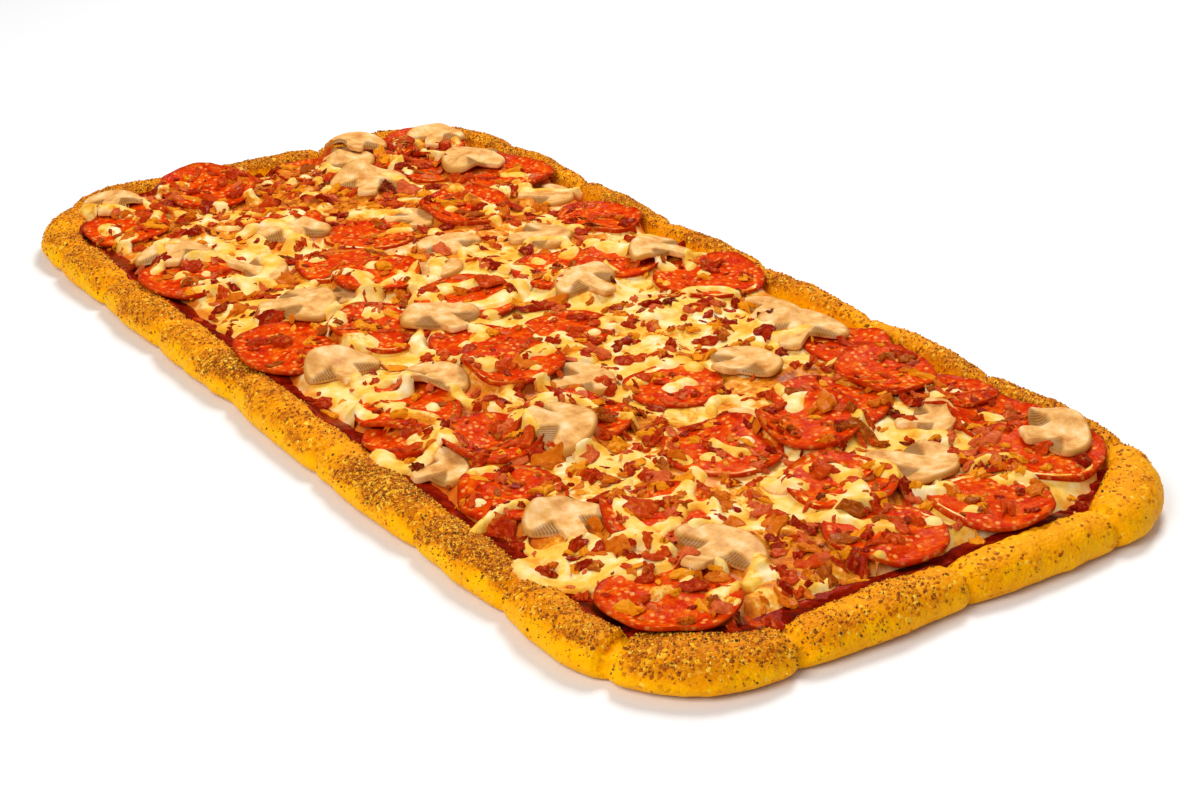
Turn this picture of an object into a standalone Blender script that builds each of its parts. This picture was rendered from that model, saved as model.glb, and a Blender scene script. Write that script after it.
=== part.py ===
"""A whole rectangular pan pizza, canadian style: crust, sauce, cheese, pepperoni, mushrooms and bacon.

The pizza lies flat on Z = 0, centred on X = Y = 0. Its long side runs along X. All lengths are metres.
Placement lists give millimetres from the corner at the low X and low Y end, as a cook would measure them.
"""

import math
import random

import bmesh
import bpy
import numpy as np
from mathutils import Matrix, Vector, noise
from mathutils.bvhtree import BVHTree

MM = 0.001
GAP = 0.3 * MM

# Dough
LENGTH = 562 * MM
WIDTH = 272 * MM
CORNER_RADIUS = 58 * MM
RIM_WIDTH = 21 * MM
FAR_RIM_WIDTH = 16 * MM
CORNER_SWELL = 0.3
RIM_HEIGHT = 16 * MM
FAR_RIM_HEIGHT = 19 * MM
FLOOR_HEIGHT = 9 * MM
PINCH_DEPTH = 3.6 * MM
PINCH_ROUNDNESS = 0.42

# The rim's section, from the underside up the outer wall, over the crest and down to the floor:
# the share of the rim's width in from the outline, and the share of its height.
RIM_SECTION = (
    (0.50, 0.00),
    (0.18, 0.06),
    (0.02, 0.28),
    (0.02, 0.55),
    (0.16, 0.84),
    (0.38, 0.99),
    (0.62, 1.00),
    (0.86, 0.88),
    (1.00, 0.55),
)
PINCH_STEPS = (0.0, 0.08, 0.30, 0.70, 0.92)
EDGE_WAVE = 2.2 * MM
EDGE_WAVE_SIZE = 95 * MM
RIM_WAVE = 1.3 * MM
RIM_WAVE_SIZE = 60 * MM

# Sauce and cheese
SAUCE_THICKNESS = 1.5 * MM
SAUCE_MARGIN = 1.5 * MM
SAUCE_WAVE = 1.0 * MM
SAUCE_WAVE_SIZE = 40 * MM
SAUCE_STATIONS = 64
CHEESE_MARGIN = 4.5 * MM
CHEESE_CORNER = 52 * MM
CHEESE_CELLS = (38, 17)
CHEESE_THICKNESS = 4.4 * MM
CHEESE_LUMPS = 1.5 * MM
CHEESE_LUMP_SIZE = 42 * MM
CHEESE_SMALL_LUMP_SIZE = 19 * MM
CHEESE_EDGE_WAVE = 3.0 * MM
CHEESE_EDGE_WAVE_SIZE = 26 * MM
CHEESE_SKIRT = 2.2 * MM

# Toppings
PEPPERONI_THICKNESS = 1.9 * MM
PEPPERONI_SECTORS = 12
PEPPERONI_RINGS = (0.58, 1.0)
PEPPERONI_CUP = 1.6 * MM
PEPPERONI_SADDLE = 1.1 * MM
PEPPERONI_CORNERS = 0.6 * MM
PEPPERONI_OVAL = 0.035
PEPPERONI_LOBES = 0.02
MUSHROOM_THICKNESS = 3.0 * MM
MUSHROOM_SECTORS = 14
MUSHROOM_RINGS = (0.5, 1.0)
# Shares of half the cap's width: the crown above the widest line, the gills below it, and half the stem.
MUSHROOM_CROWN = 0.78
MUSHROOM_GILLS = 0.42
MUSHROOM_STEM_HALF = 0.26
MUSHROOM_TILT = 0.08
SOFT_SAG = 4.0 * MM
SUNK = 0.9 * MM
# The last slices of each list went on late, so they lie on the others.
LATE_PEPPERONI = 7
LATE_MUSHROOMS = 4
# A bit of bacon, in shares of its length: the bare cheese it needs, its lift, its width and its height.
BACON_FREE = 0.62
BACON_LIFT = 0.12
BACON_WIDTH = 0.62
BACON_HEIGHT = 0.42
BACON_UNEVEN = (0.85, 1.12)
BACON_CORNERS = 12

# How a slice is laid: rays start above and below everything and look at a fine fan of places.
ABOVE_ALL = 200 * MM
BELOW_ALL = -100 * MM
DOWN = Vector((0.0, 0.0, -1.0))
NEIGHBOURHOOD = 40 * MM
PROBE_TURNS = 72
PROBE_STEPS = 14
PROBE_MARGIN = 1.0 * MM
INSIDE_EDGE = 0.985
SETTLE_ROUNDS = 8
SETTLE_GAP = 1.6 * GAP

# Pinched lines across the rim, in millimetres round the outline from the middle of the low X end.
PINCHES = (
    38, 112, 178, 230, 292, 365, 446, 521, 579, 640, 716,
    792, 866, 942, 1020, 1094, 1172, 1246, 1322, 1396, 1466, 1530,
)

# Melted mounds in the cheese: x, y, radius and height in millimetres.
MOUNDS = (
    (300, 32, 15, 3.4),
    (112, 62, 13, 2.6),
    (74, 84, 11, 2.2),
    (390, 202, 13, 3.0),
    (308, 198, 14, 2.8),
    (462, 240, 13, 2.6),
    (540, 78, 10, 2.4),
    (350, 76, 12, 2.4),
    (210, 214, 13, 2.4),
    (166, 118, 12, 2.2),
    (330, 170, 13, 2.6),
    (56, 122, 12, 2.4),
)

# Pepperoni: x, y and diameter in millimetres, then lean and the direction of the raised side in degrees.
PEPPERONI = (
    (62, 40, 44, 3, 120),
    (144, 36, 48, 4, 100),
    (246, 38, 53, 4, 130),
    (174, 100, 42, 5, 150),
    (101, 106, 40, 4, 150),
    (254, 76, 46, 6, 140),
    (292, 106, 46, 3, 60),
    (375, 58, 41, 5, 120),
    (380, 97, 44, 4, 150),
    (417, 42, 43, 5, 100),
    (433, 128, 48, 4, 140),
    (512, 46, 50, 3, 60),
    (520, 137, 45, 4, 90),
    (523, 186, 46, 5, 40),
    (424, 190, 48, 4, 140),
    (414, 228, 44, 7, 146),
    (283, 234, 52, 6, 146),
    (244, 210, 42, 5, 130),
    (238, 180, 45, 4, 100),
    (241, 128, 49, 4, 160),
    (138, 190, 48, 5, 146),
    (104, 236, 50, 5, 120),
    (38, 224, 44, 6, 146),
    (38, 192, 45, 4, 100),
    (187, 238, 42, 6, 120),
    (332, 46, 45, 5, 140),
    (199, 105, 42, 8, 60),
    (322, 102, 44, 6, 20),
    (464, 76, 45, 6, 140),
    (484, 146, 42, 9, 120),
    (437, 168, 43, 7, 100),
    (504, 230, 50, 7, 146),
    (40, 94, 49, 12, 146),
)

# Pepperoni that the cheese holds, fused to it: the same five values.
MELTED_PEPPERONI = (
    (474, 238, 42, 4, 146),
    (442, 238, 42, 4, 60),
    (380, 238, 40, 3, 120),
    (297, 148, 42, 3, 90),
    (144, 132, 44, 3, 0),
    (74, 208, 40, 4, 150),
    (36, 156, 38, 5, 146),
    (38, 62, 36, 4, 100),
    (350, 34, 34, 3, 60),
    (372, 150, 43, 3, 150),
)

# Mushrooms: x, y, cap width and stem length in millimetres, then direction of the cap and bend in degrees.
MUSHROOMS = (
    (36, 44, 33, 8, 140, 26),
    (118, 40, 38, 6, 150, 34),
    (157, 66, 34, 8, 60, 22),
    (208, 60, 44, 9, 70, 30),
    (124, 100, 38, 5, 160, 34),
    (262, 103, 40, 6, 185, 26),
    (280, 44, 34, 8, 170, 26),
    (314, 68, 36, 8, 95, 18),
    (448, 46, 34, 8, 165, 24),
    (346, 122, 33, 8, 85, 24),
    (386, 82, 42, 4, 60, 36),
    (372, 186, 37, 9, 100, 26),
    (262, 180, 34, 9, 190, 28),
    (249, 230, 36, 7, 215, 26),
    (193, 200, 37, 9, 75, 22),
    (82, 230, 45, 6, 215, 30),
    (44, 172, 40, 4, 60, 34),
    (76, 168, 42, 8, 150, 34),
    (30, 186, 34, 6, 150, 22),
    (36, 232, 33, 6, 140, 26),
    (357, 230, 42, 12, 125, 22),
    (485, 184, 40, 13, 40, 20),
    (500, 240, 36, 6, 70, 26),
    (498, 78, 37, 13, 112, 20),
)

# Mushroom slices that the cheese holds, fused to it: the same six values.
MELTED_MUSHROOMS = (
    (204, 84, 24, 6, 60, 14),
    (382, 32, 28, 6, 80, 14),
    (200, 134, 34, 4, 10, 16),
    (140, 238, 36, 8, 60, 14),
    (458, 214, 28, 8, 60, 14),
    (134, 160, 32, 6, 70, 14),
    (416, 152, 24, 5, 80, 14),
    (328, 236, 32, 7, 110, 14),
    (176, 158, 34, 6, 170, 14),
)

# Chopped bacon on the bare cheese: x, y and length in millimetres and turn in degrees.
BACON = (
    (440, 95, 16, 20),
    (521, 106, 14, 60),
    (72, 114, 13, 120),
    (392, 206, 13, 40),
    (338, 197, 15, 150),
    (326, 184, 10, 80),
    (206, 157, 12, 30),
    (187, 174, 12, 100),
    (163, 222, 11, 20),
    (466, 118, 12, 130),
    (489, 112, 11, 10),
    (506, 108, 10, 90),
    (540, 66, 11, 45),
    (358, 127, 13, 160),
    (345, 160, 10, 60),
    (323, 134, 13, 30),
    (215, 160, 10, 140),
    (110, 207, 11, 70),
    (156, 224, 9, 110),
    (104, 160, 11, 0),
    (82, 136, 13, 50),
    (60, 140, 11, 100),
    (92, 66, 12, 30),
    (66, 70, 10, 150),
    (180, 66, 12, 70),
    (150, 84, 11, 10),
    (226, 84, 9, 120),
    (299, 78, 11, 40),
    (346, 78, 12, 90),
    (400, 70, 11, 20),
    (404, 120, 12, 140),
    (474, 206, 11, 60),
    (505, 200, 9, 110),
    (386, 216, 10, 20),
    (312, 214, 12, 80),
    (300, 190, 11, 150),
    (264, 150, 12, 50),
    (150, 110, 9, 100),
    (226, 108, 9, 30),
    (450, 208, 10, 160),
)


def clear_scene():
    for item in list(bpy.data.objects):
        bpy.data.objects.remove(item, do_unlink=True)


def collection(name):
    group = bpy.data.collections.new(name)
    bpy.context.scene.collection.children.link(group)
    return group


def material(name, colour, roughness):
    finish = bpy.data.materials.new(name)
    finish.use_nodes = True
    shader = finish.node_tree.nodes["Principled BSDF"]
    shader.inputs["Base Color"].default_value = (*colour, 1.0)
    shader.inputs["Roughness"].default_value = roughness
    shader.inputs["Metallic"].default_value = 0.0
    finish.diffuse_color = (*colour, 1.0)
    return finish


def add_object(name, mesh, finish, group):
    piece = bpy.data.objects.new(name, mesh)
    mesh.materials.append(finish)
    group.objects.link(piece)
    return piece


def mesh_of(name, body):
    mesh = bpy.data.meshes.new(name)
    bmesh.ops.triangulate(body, faces=body.faces)
    bmesh.ops.recalc_face_normals(body, faces=body.faces)
    body.to_mesh(mesh)
    body.free()
    return mesh


def ripple(x, y, size, seed):
    """A smooth random value between -1 and 1 that changes over about the given size."""
    return noise.noise(Vector((x / size, y / size, seed)))


# The rounded rectangle, by the distance walked round it from the middle of the low X end.
STRAIGHT_X = LENGTH - 2 * CORNER_RADIUS
STRAIGHT_Y = WIDTH - 2 * CORNER_RADIUS
ARC = math.pi / 2 * CORNER_RADIUS
PERIMETER = 2 * (STRAIGHT_X + STRAIGHT_Y + 2 * ARC)


def outline(walk):
    """The point, the outward normal and the share of corner turning at a distance round the outline."""
    walk = walk % PERIMETER
    half_x = STRAIGHT_X / 2
    half_y = STRAIGHT_Y / 2
    runs = (
        ("line", STRAIGHT_Y / 2, (-LENGTH / 2, 0.0), -90),
        ("arc", ARC, (-half_x, -half_y), 180),
        ("line", STRAIGHT_X, (-half_x, -WIDTH / 2), 0),
        ("arc", ARC, (half_x, -half_y), 270),
        ("line", STRAIGHT_Y, (LENGTH / 2, -half_y), 90),
        ("arc", ARC, (half_x, half_y), 0),
        ("line", STRAIGHT_X, (half_x, WIDTH / 2), 180),
        ("arc", ARC, (-half_x, half_y), 90),
        ("line", STRAIGHT_Y / 2, (-LENGTH / 2, half_y), -90),
    )
    for kind, run, place, degrees in runs:
        if walk <= run:
            break
        walk -= run
    walk = min(walk, run)
    if kind == "line":
        along = math.radians(degrees)
        point = (place[0] + walk * math.cos(along), place[1] + walk * math.sin(along))
        return point, (math.sin(along), -math.cos(along)), 0.0
    turn = math.radians(degrees) + walk / CORNER_RADIUS
    normal = (math.cos(turn), math.sin(turn))
    point = (place[0] + CORNER_RADIUS * normal[0], place[1] + CORNER_RADIUS * normal[1])
    return point, normal, math.sin(math.pi * walk / run)


def far_share(nx, ny):
    """1 on the two sides that face low X and high Y, 0 on the other two, with a smooth step between."""
    far = min(max(0.5 + 0.5 * (ny - nx), 0.0), 1.0)
    return far * far * (3.0 - 2.0 * far)


def rim_width(nx, ny, corner):
    """The rim is narrower on the far sides, and wider round the corners."""
    width = RIM_WIDTH + (FAR_RIM_WIDTH - RIM_WIDTH) * far_share(nx, ny)
    return width * (1.0 + CORNER_SWELL * corner)


def rim_height(nx, ny):
    """The rim stands higher on the far sides."""
    return RIM_HEIGHT + (FAR_RIM_HEIGHT - RIM_HEIGHT) * far_share(nx, ny)


def rim_stations():
    """Distances round the outline with their puff: 0 on a pinch and 1 in the middle of a lobe."""
    stations = []
    for number, start in enumerate(PINCHES):
        end = PINCHES[(number + 1) % len(PINCHES)] * MM
        start = start * MM
        span = (end - start) % PERIMETER
        for share in PINCH_STEPS:
            puff = math.sin(math.pi * share) ** PINCH_ROUNDNESS if share > 0 else 0.0
            stations.append((start + share * span, puff))
    return stations


def crust_rings():
    """One ring of points for each corner of the rim's section, bottom first and floor last."""
    rings = [[] for _ in RIM_SECTION]
    for walk, puff in rim_stations():
        (x, y), (nx, ny), corner = outline(walk)
        crease = PINCH_DEPTH * (1.0 - puff)
        wave = EDGE_WAVE * ripple(x, y, EDGE_WAVE_SIZE, 3.0) - crease
        height = rim_height(nx, ny) + RIM_WAVE * ripple(x, y, RIM_WAVE_SIZE, 8.0) - crease
        width = rim_width(nx, ny, corner) + wave
        for ring, (inset, rise) in zip(rings, RIM_SECTION):
            inward = width * inset - wave
            z = FLOOR_HEIGHT if inset == 1.0 else height * rise
            ring.append((x - nx * inward, y - ny * inward, z))
    return rings


def loft(rings):
    """A closed body through rings of equal count, with a flat face on the first and the last."""
    body = bmesh.new()
    loops = [[body.verts.new(point) for point in ring] for ring in rings]
    count = len(loops[0])
    for low, high in zip(loops, loops[1:]):
        for here in range(count):
            after = (here + 1) % count
            body.faces.new((low[here], low[after], high[after], high[here]))
    body.faces.new(loops[0][::-1])
    body.faces.new(loops[-1])
    return body


def sauce_body():
    """A thin sheet on the floor, with a wavy edge just inside the rim."""
    bottom = FLOOR_HEIGHT + GAP
    rings = [[], []]
    for number in range(SAUCE_STATIONS):
        (x, y), (nx, ny), corner = outline(PERIMETER * number / SAUCE_STATIONS)
        wave = SAUCE_WAVE * (1.0 + ripple(x, y, SAUCE_WAVE_SIZE, 5.0))
        inward = rim_width(nx, ny, corner) + SAUCE_MARGIN + wave
        for ring, z in zip(rings, (bottom, bottom + SAUCE_THICKNESS)):
            ring.append((x - nx * inward, y - ny * inward, z))
    return loft(rings)


# The cheese's rounded rectangle lies a little towards the narrower sides of the rim.
CHEESE_HALF_X = (LENGTH - RIM_WIDTH - FAR_RIM_WIDTH) / 2 - CHEESE_MARGIN
CHEESE_HALF_Y = (WIDTH - RIM_WIDTH - FAR_RIM_WIDTH) / 2 - CHEESE_MARGIN
CHEESE_SHIFT = (RIM_WIDTH - FAR_RIM_WIDTH) / 2


def rounded_cell(u, v):
    """Carries a square grid, -1 to 1 both ways, onto the cheese's rounded rectangle."""
    half_x = CHEESE_HALF_X
    half_y = CHEESE_HALF_Y
    x = u * half_x
    y = v * half_y
    p = (abs(x) - (half_x - CHEESE_CORNER)) / CHEESE_CORNER
    q = (abs(y) - (half_y - CHEESE_CORNER)) / CHEESE_CORNER
    if p > 0 and q > 0:
        x = math.copysign(half_x - CHEESE_CORNER + CHEESE_CORNER * p * math.sqrt(1 - q * q / 2), x)
        y = math.copysign(half_y - CHEESE_CORNER + CHEESE_CORNER * q * math.sqrt(1 - p * p / 2), y)
    edge = max(abs(u), abs(v)) ** 6
    pull = CHEESE_EDGE_WAVE * edge * ripple(x, y, CHEESE_EDGE_WAVE_SIZE, 2.0)
    length = math.hypot(x, y) or 1.0
    return x - x / length * pull - CHEESE_SHIFT, y - y / length * pull + CHEESE_SHIFT, edge


def cheese_height(x, y, edge):
    """Lumps of two sizes and the melted mounds, rounded off towards the edge."""
    lumps = ripple(x, y, CHEESE_LUMP_SIZE, 0.0) + 0.5 * ripple(x, y, CHEESE_SMALL_LUMP_SIZE, 1.0)
    z = CHEESE_THICKNESS + CHEESE_LUMPS * lumps
    for mound_x, mound_y, radius, height in MOUNDS:
        away = math.hypot(x + LENGTH / 2 - mound_x * MM, y + WIDTH / 2 - mound_y * MM)
        z += height * MM * math.exp(-((away / (radius * MM)) ** 2))
    return z * (1 - edge) + CHEESE_SKIRT * edge


def cheese_body():
    """A grid of bumps carried down to a flat underside on the sauce."""
    bottom = FLOOR_HEIGHT + SAUCE_THICKNESS + 2 * GAP
    columns, rows = CHEESE_CELLS
    body = bmesh.new()
    bmesh.ops.create_grid(body, x_segments=columns, y_segments=rows, size=1.0)
    for point in body.verts:
        x, y, edge = rounded_cell(point.co.x, point.co.y)
        point.co = (x, y, bottom + cheese_height(x, y, edge))
    rim = [line for line in body.edges if line.is_boundary]
    skirt = bmesh.ops.extrude_edge_only(body, edges=rim)["geom"]
    for point in skirt:
        if isinstance(point, bmesh.types.BMVert):
            point.co.z = bottom
    lower = [line for line in body.edges if line.is_boundary]
    bmesh.ops.edgeloop_fill(body, edges=lower)
    return body


class Slice:
    """A flat topping: where it lies, its outline round its own centre, and how it leans and bends."""

    def __init__(self, x, y, lean, toward, rings, sectors, reach, bend):
        self.x = x * MM - LENGTH / 2
        self.y = y * MM - WIDTH / 2
        self.slope = math.tan(math.radians(lean))
        self.toward = math.radians(toward)
        self.rings = rings
        self.sectors = sectors
        self.reach = reach
        self.bend = bend

    def place(self, share, turn):
        """The point at a share of the way from the centre to the outline, in the direction turn."""
        radius = self.reach(turn) * share
        across = radius * math.cos(turn)
        along = radius * math.sin(turn)
        x = self.x + across
        y = self.y + along
        rise = self.slope * (across * math.cos(self.toward) + along * math.sin(self.toward))
        return x, y, rise + self.bend(across, along)

    def turns(self, count):
        return [2 * math.pi * number / count for number in range(count)]

    def surface(self, base, supports):
        """The underside as an open sheet, drooping by up to the sag where nothing holds it."""
        body = bmesh.new()
        x, y, rise = self.place(0.0, 0.0)
        centre = body.verts.new((x, y, base + rise))
        loops = []
        for share in self.rings:
            loop = []
            for turn in self.turns(self.sectors):
                x, y, rise = self.place(share, turn)
                loop.append(body.verts.new((x, y, base + rise)))
            loops.append(loop)
        for here in range(self.sectors):
            after = (here + 1) % self.sectors
            body.faces.new((centre, loops[0][here], loops[0][after]))
            for inner, outer in zip(loops, loops[1:]):
                body.faces.new((inner[here], outer[here], outer[after]))
                body.faces.new((inner[here], outer[after], inner[after]))
        for point in body.verts:
            held = height_under(point.co.x, point.co.y, supports)
            point.co.z = max(point.co.z - SOFT_SAG, held + GAP)
        return body

    def probes(self):
        """Places that cover the slice and a millimetre round it, each with its place on the slice."""
        widest = 1.0 + PROBE_MARGIN / self.reach(0.0)
        for turn in self.turns(PROBE_TURNS):
            for step in range(1, PROBE_STEPS + 1):
                share = widest * step / PROBE_STEPS
                x, y, rise = self.place(share, turn)
                inner_x, inner_y, _ = self.place(min(share, INSIDE_EDGE), turn)
                yield x, y, rise, inner_x, inner_y


def height_under(x, y, supports):
    """The highest point of the supports below a place, seen from above."""
    start = Vector((x, y, ABOVE_ALL))
    best = 0.0
    for tree, low, high in supports:
        if low[0] <= x <= high[0] and low[1] <= y <= high[1]:
            hit = tree.ray_cast(start, DOWN)[0]
            if hit is not None:
                best = max(best, hit.z)
    return best


def support_of(body):
    """A search tree of a body with its box seen from above."""
    spots = np.array([point.co[:] for point in body.verts])
    return BVHTree.FromBMesh(body), spots.min(axis=0), spots.max(axis=0)


def near_supports(piece, supports):
    """The supports whose box comes near a slice."""
    return [
        (tree, low, high)
        for tree, low, high in supports
        if low[0] < piece.x + NEIGHBOURHOOD
        and high[0] > piece.x - NEIGHBOURHOOD
        and low[1] < piece.y + NEIGHBOURHOOD
        and high[1] > piece.y - NEIGHBOURHOOD
    ]


def settle(piece, supports, thickness, sunk=0.0):
    """Lays a slice on what is already there and gives it its thickness, straight up."""
    close = near_supports(piece, supports)
    probes = [(probe, height_under(probe[0], probe[1], close)) for probe in piece.probes()]
    base = max(held - probe[2] for probe, held in probes) + GAP
    body = piece.surface(base, close)
    body.faces.ensure_lookup_table()
    for _ in range(SETTLE_ROUNDS):
        body.verts.index_update()
        tree = BVHTree.FromBMesh(body)
        lifts = {}
        for (_, _, _, x, y), held in probes:
            hit, _, face, _ = tree.ray_cast(Vector((x, y, BELOW_ALL)), -DOWN)
            if hit is None:
                hit, _, face, _ = tree.find_nearest(Vector((x, y, base)))
            short = held + SETTLE_GAP - hit.z
            if short > 0:
                for point in body.faces[face].verts:
                    lifts[point] = max(lifts.get(point, 0.0), short)
        if not lifts:
            break
        for point, lift in lifts.items():
            point.co.z += lift
    for point in body.verts:
        point.co.z -= sunk
    thicken(body, thickness)
    supports.append(support_of(body))
    return body


def thicken(body, thickness):
    """Raises a copy of an open sheet and walls the two together."""
    lower = list(body.faces)
    made = bmesh.ops.extrude_face_region(body, geom=lower, use_keep_orig=True)["geom"]
    for point in made:
        if isinstance(point, bmesh.types.BMVert):
            point.co.z += thickness


def pepperoni_slice(x, y, diameter, lean, toward):
    """A round slice whose edge is a little uneven and cups upwards."""
    radius = diameter / 2 * MM
    seed = x * 0.37 + y * 0.11

    def reach(turn):
        oval = PEPPERONI_OVAL * math.sin(2 * turn + seed)
        return radius * (1.0 + oval + PEPPERONI_LOBES * math.sin(5 * turn + 2 * seed))

    def bend(across, along):
        share = math.hypot(across, along) / radius
        turn = math.atan2(along, across)
        saddle = PEPPERONI_SADDLE * math.sin(2 * turn + seed)
        return share**2 * (PEPPERONI_CUP + saddle + PEPPERONI_CORNERS * math.sin(3 * turn - seed))

    return Slice(x, y, lean, toward, PEPPERONI_RINGS, PEPPERONI_SECTORS, reach, bend)


def mushroom_slice(x, y, cap_width, stem, direction, bend_degrees):
    """A slice through a cap and its stem, bent like an arch across the cap."""
    half = cap_width / 2 * MM
    crown = MUSHROOM_CROWN * half
    gills = MUSHROOM_GILLS * half
    stem_half = MUSHROOM_STEM_HALF * half
    stem_end = gills + stem * MM
    up = math.radians(direction)
    curl = math.radians(bend_degrees)

    def reach(turn):
        aside = math.cos(turn - up + math.pi / 2)
        above = math.sin(turn - up + math.pi / 2)
        depth = crown if above > 0 else gills
        cap = 1.0 / math.hypot(aside / half, above / depth)
        if above >= -0.2:
            return cap
        bar = min(stem_half / max(abs(aside), 1e-6), stem_end / -above)
        return max(cap, bar)

    def bend(across, along):
        aside = across * math.cos(up - math.pi / 2) + along * math.sin(up - math.pi / 2)
        above = across * math.cos(up) + along * math.sin(up)
        return (1.0 - (aside / half) ** 2) * half * math.tan(curl) / 3 + MUSHROOM_TILT * above

    return Slice(x, y, 0.0, 0.0, MUSHROOM_RINGS, MUSHROOM_SECTORS, reach, bend)


def bacon_bits(supports, cheese_tree, finish, group):
    """Chopped bacon where no slice covers the cheese; a piece that would touch a slice is left out."""
    draw = random.Random(29)
    for x, y, length, turn in BACON:
        x = x * MM - LENGTH / 2
        y = y * MM - WIDTH / 2
        shape = [draw.uniform(*BACON_UNEVEN) for _ in range(2 * BACON_CORNERS + 2)]
        if is_free(x, y, BACON_FREE * length * MM, supports, cheese_tree):
            top = cheese_tree.ray_cast(Vector((x, y, ABOVE_ALL)), DOWN)[0].z
            body = bacon_bit(x, y, top, length * MM, math.radians(turn), shape)
            add_object("bacon", mesh_of("bacon", body), finish, group)


def is_free(x, y, radius, supports, cheese_tree):
    """True where the cheese is bare inside a radius."""
    for share in (0.0, 0.5, 1.0):
        for degrees in range(0, 360, 36):
            turn = math.radians(degrees)
            px = x + share * radius * math.cos(turn)
            py = y + share * radius * math.sin(turn)
            bare = cheese_tree.ray_cast(Vector((px, py, ABOVE_ALL)), DOWN)[0]
            if bare is None or height_under(px, py, supports) > bare.z + 0.05 * MM:
                return False
    return True


def bacon_bit(x, y, top, length, turn, shape):
    """A chopped piece: a round lump squeezed unevenly and turned, half sunk in the cheese."""
    body = bmesh.new()
    bmesh.ops.create_icosphere(body, subdivisions=1, radius=0.5 * length)
    stretches = shape[:BACON_CORNERS]
    squeezes = shape[BACON_CORNERS:-2]
    narrow = BACON_WIDTH * shape[-2]
    flat = BACON_HEIGHT * shape[-1]
    for point, stretch, squeeze in zip(body.verts, stretches, squeezes):
        px = point.co.x * stretch
        py = point.co.y * narrow * squeeze
        point.co.x = x + px * math.cos(turn) - py * math.sin(turn)
        point.co.y = y + px * math.sin(turn) + py * math.cos(turn)
        point.co.z = top + BACON_LIFT * length + point.co.z * flat
    return body


def fuse(piece, group):
    """One union of a piece with every object of a collection, which is then emptied."""
    join = piece.modifiers.new("toppings", "BOOLEAN")
    join.operation = "UNION"
    join.operand_type = "COLLECTION"
    join.collection = group
    join.solver = "EXACT"
    depsgraph = bpy.context.evaluated_depsgraph_get()
    mesh = bpy.data.meshes.new_from_object(piece.evaluated_get(depsgraph))
    piece.modifiers.clear()
    piece.data = outer_shell(mesh)
    for item in list(group.objects):
        bpy.data.objects.remove(item, do_unlink=True)
    bpy.data.collections.remove(group)


def outer_shell(mesh):
    """The mesh without the small hollows and scraps that a union leaves: its largest connected skin."""
    body = bmesh.new()
    body.from_mesh(mesh)
    bmesh.ops.triangulate(body, faces=body.faces)
    unseen = set(body.faces)
    skins = []
    while unseen:
        skin = [unseen.pop()]
        for face in skin:
            for line in face.edges:
                for beside in line.link_faces:
                    if beside in unseen:
                        unseen.discard(beside)
                        skin.append(beside)
        skins.append(skin)
    skins.sort(key=len)
    scraps = [face for skin in skins[:-1] for face in skin]
    bmesh.ops.delete(body, geom=scraps, context="FACES")
    body.to_mesh(mesh)
    body.free()
    return mesh


def centre(group):
    """Moves the meshes of a collection together, so that their box stands on the middle of X = Y = 0."""
    spots = np.array([point.co[:] for item in group.objects for point in item.data.vertices])
    middle = (spots.min(axis=0) + spots.max(axis=0)) / 2
    for item in group.objects:
        item.data.transform(Matrix.Translation((-middle[0], -middle[1], 0.0)))


def main():
    clear_scene()
    pizza = collection("canadian_pizza")
    loose = collection("fused_toppings")
    baked = material("baked_crust", (0.62, 0.30, 0.045), 0.7)
    tomato = material("tomato_sauce", (0.35, 0.02, 0.01), 0.35)
    melted = material("melted_cheese", (0.88, 0.66, 0.30), 0.4)
    sausage = material("pepperoni", (0.56, 0.05, 0.015), 0.35)
    tan = material("mushroom", (0.72, 0.44, 0.20), 0.5)

    add_object("crust", mesh_of("crust", loft(crust_rings())), baked, pizza)
    add_object("tomato_sauce", mesh_of("tomato_sauce", sauce_body()), tomato, pizza)
    crust = bmesh.new()
    crust.from_mesh(pizza.objects["crust"].data)
    cheese = cheese_body()
    cheese_tree = BVHTree.FromBMesh(cheese)
    supports = [support_of(crust), support_of(cheese)]
    layer = add_object("cheese", mesh_of("cheese", cheese), melted, pizza)

    held = [pepperoni_slice(*spot) for spot in MELTED_PEPPERONI]
    held += [mushroom_slice(*spot) for spot in MELTED_MUSHROOMS]
    for number, piece in enumerate(held):
        thickness = PEPPERONI_THICKNESS if number < len(MELTED_PEPPERONI) else MUSHROOM_THICKNESS
        body = settle(piece, supports, thickness, SUNK)
        add_object(f"held_{number}", mesh_of("held", body), melted, loose)

    rounds = [("pepperoni", number) for number in range(len(PEPPERONI))]
    late = rounds[-LATE_PEPPERONI:]
    cuts = [("mushroom", number) for number in range(len(MUSHROOMS))]
    last = cuts[-LATE_MUSHROOMS:]
    for kind, number in rounds[:-LATE_PEPPERONI] + cuts[:-LATE_MUSHROOMS] + late + last:
        if kind == "pepperoni":
            body = settle(pepperoni_slice(*PEPPERONI[number]), supports, PEPPERONI_THICKNESS)
            finish = sausage
        else:
            body = settle(mushroom_slice(*MUSHROOMS[number]), supports, MUSHROOM_THICKNESS)
            finish = tan
        name = f"{kind}_{number + 1:02d}"
        add_object(name, mesh_of(name, body), finish, pizza)

    bacon_bits(supports, cheese_tree, melted, loose)
    fuse(layer, loose)
    centre(pizza)


main()
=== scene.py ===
# %% [markdown]
# # A whole rectangular pizza, canadian style
# The solids of this pizza are already in the frame: the crust with its pinched rim, the sauce, the cheese
# and every slice of pepperoni and mushroom. They fix where everything lies and how large it is. This lesson
# dresses them. Each solid is replaced by a finer surface worked out from its own points, and small things
# are laid on top in the order a cook would add them: melted shreds, drops of cheese, chopped bacon, crumbs
# and herbs. Everything is in metres, and the pizza stands on Z = 0.

# %% The frame
import math

import bpy
import numpy as np
from mathutils import Matrix, Vector, noise


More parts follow.
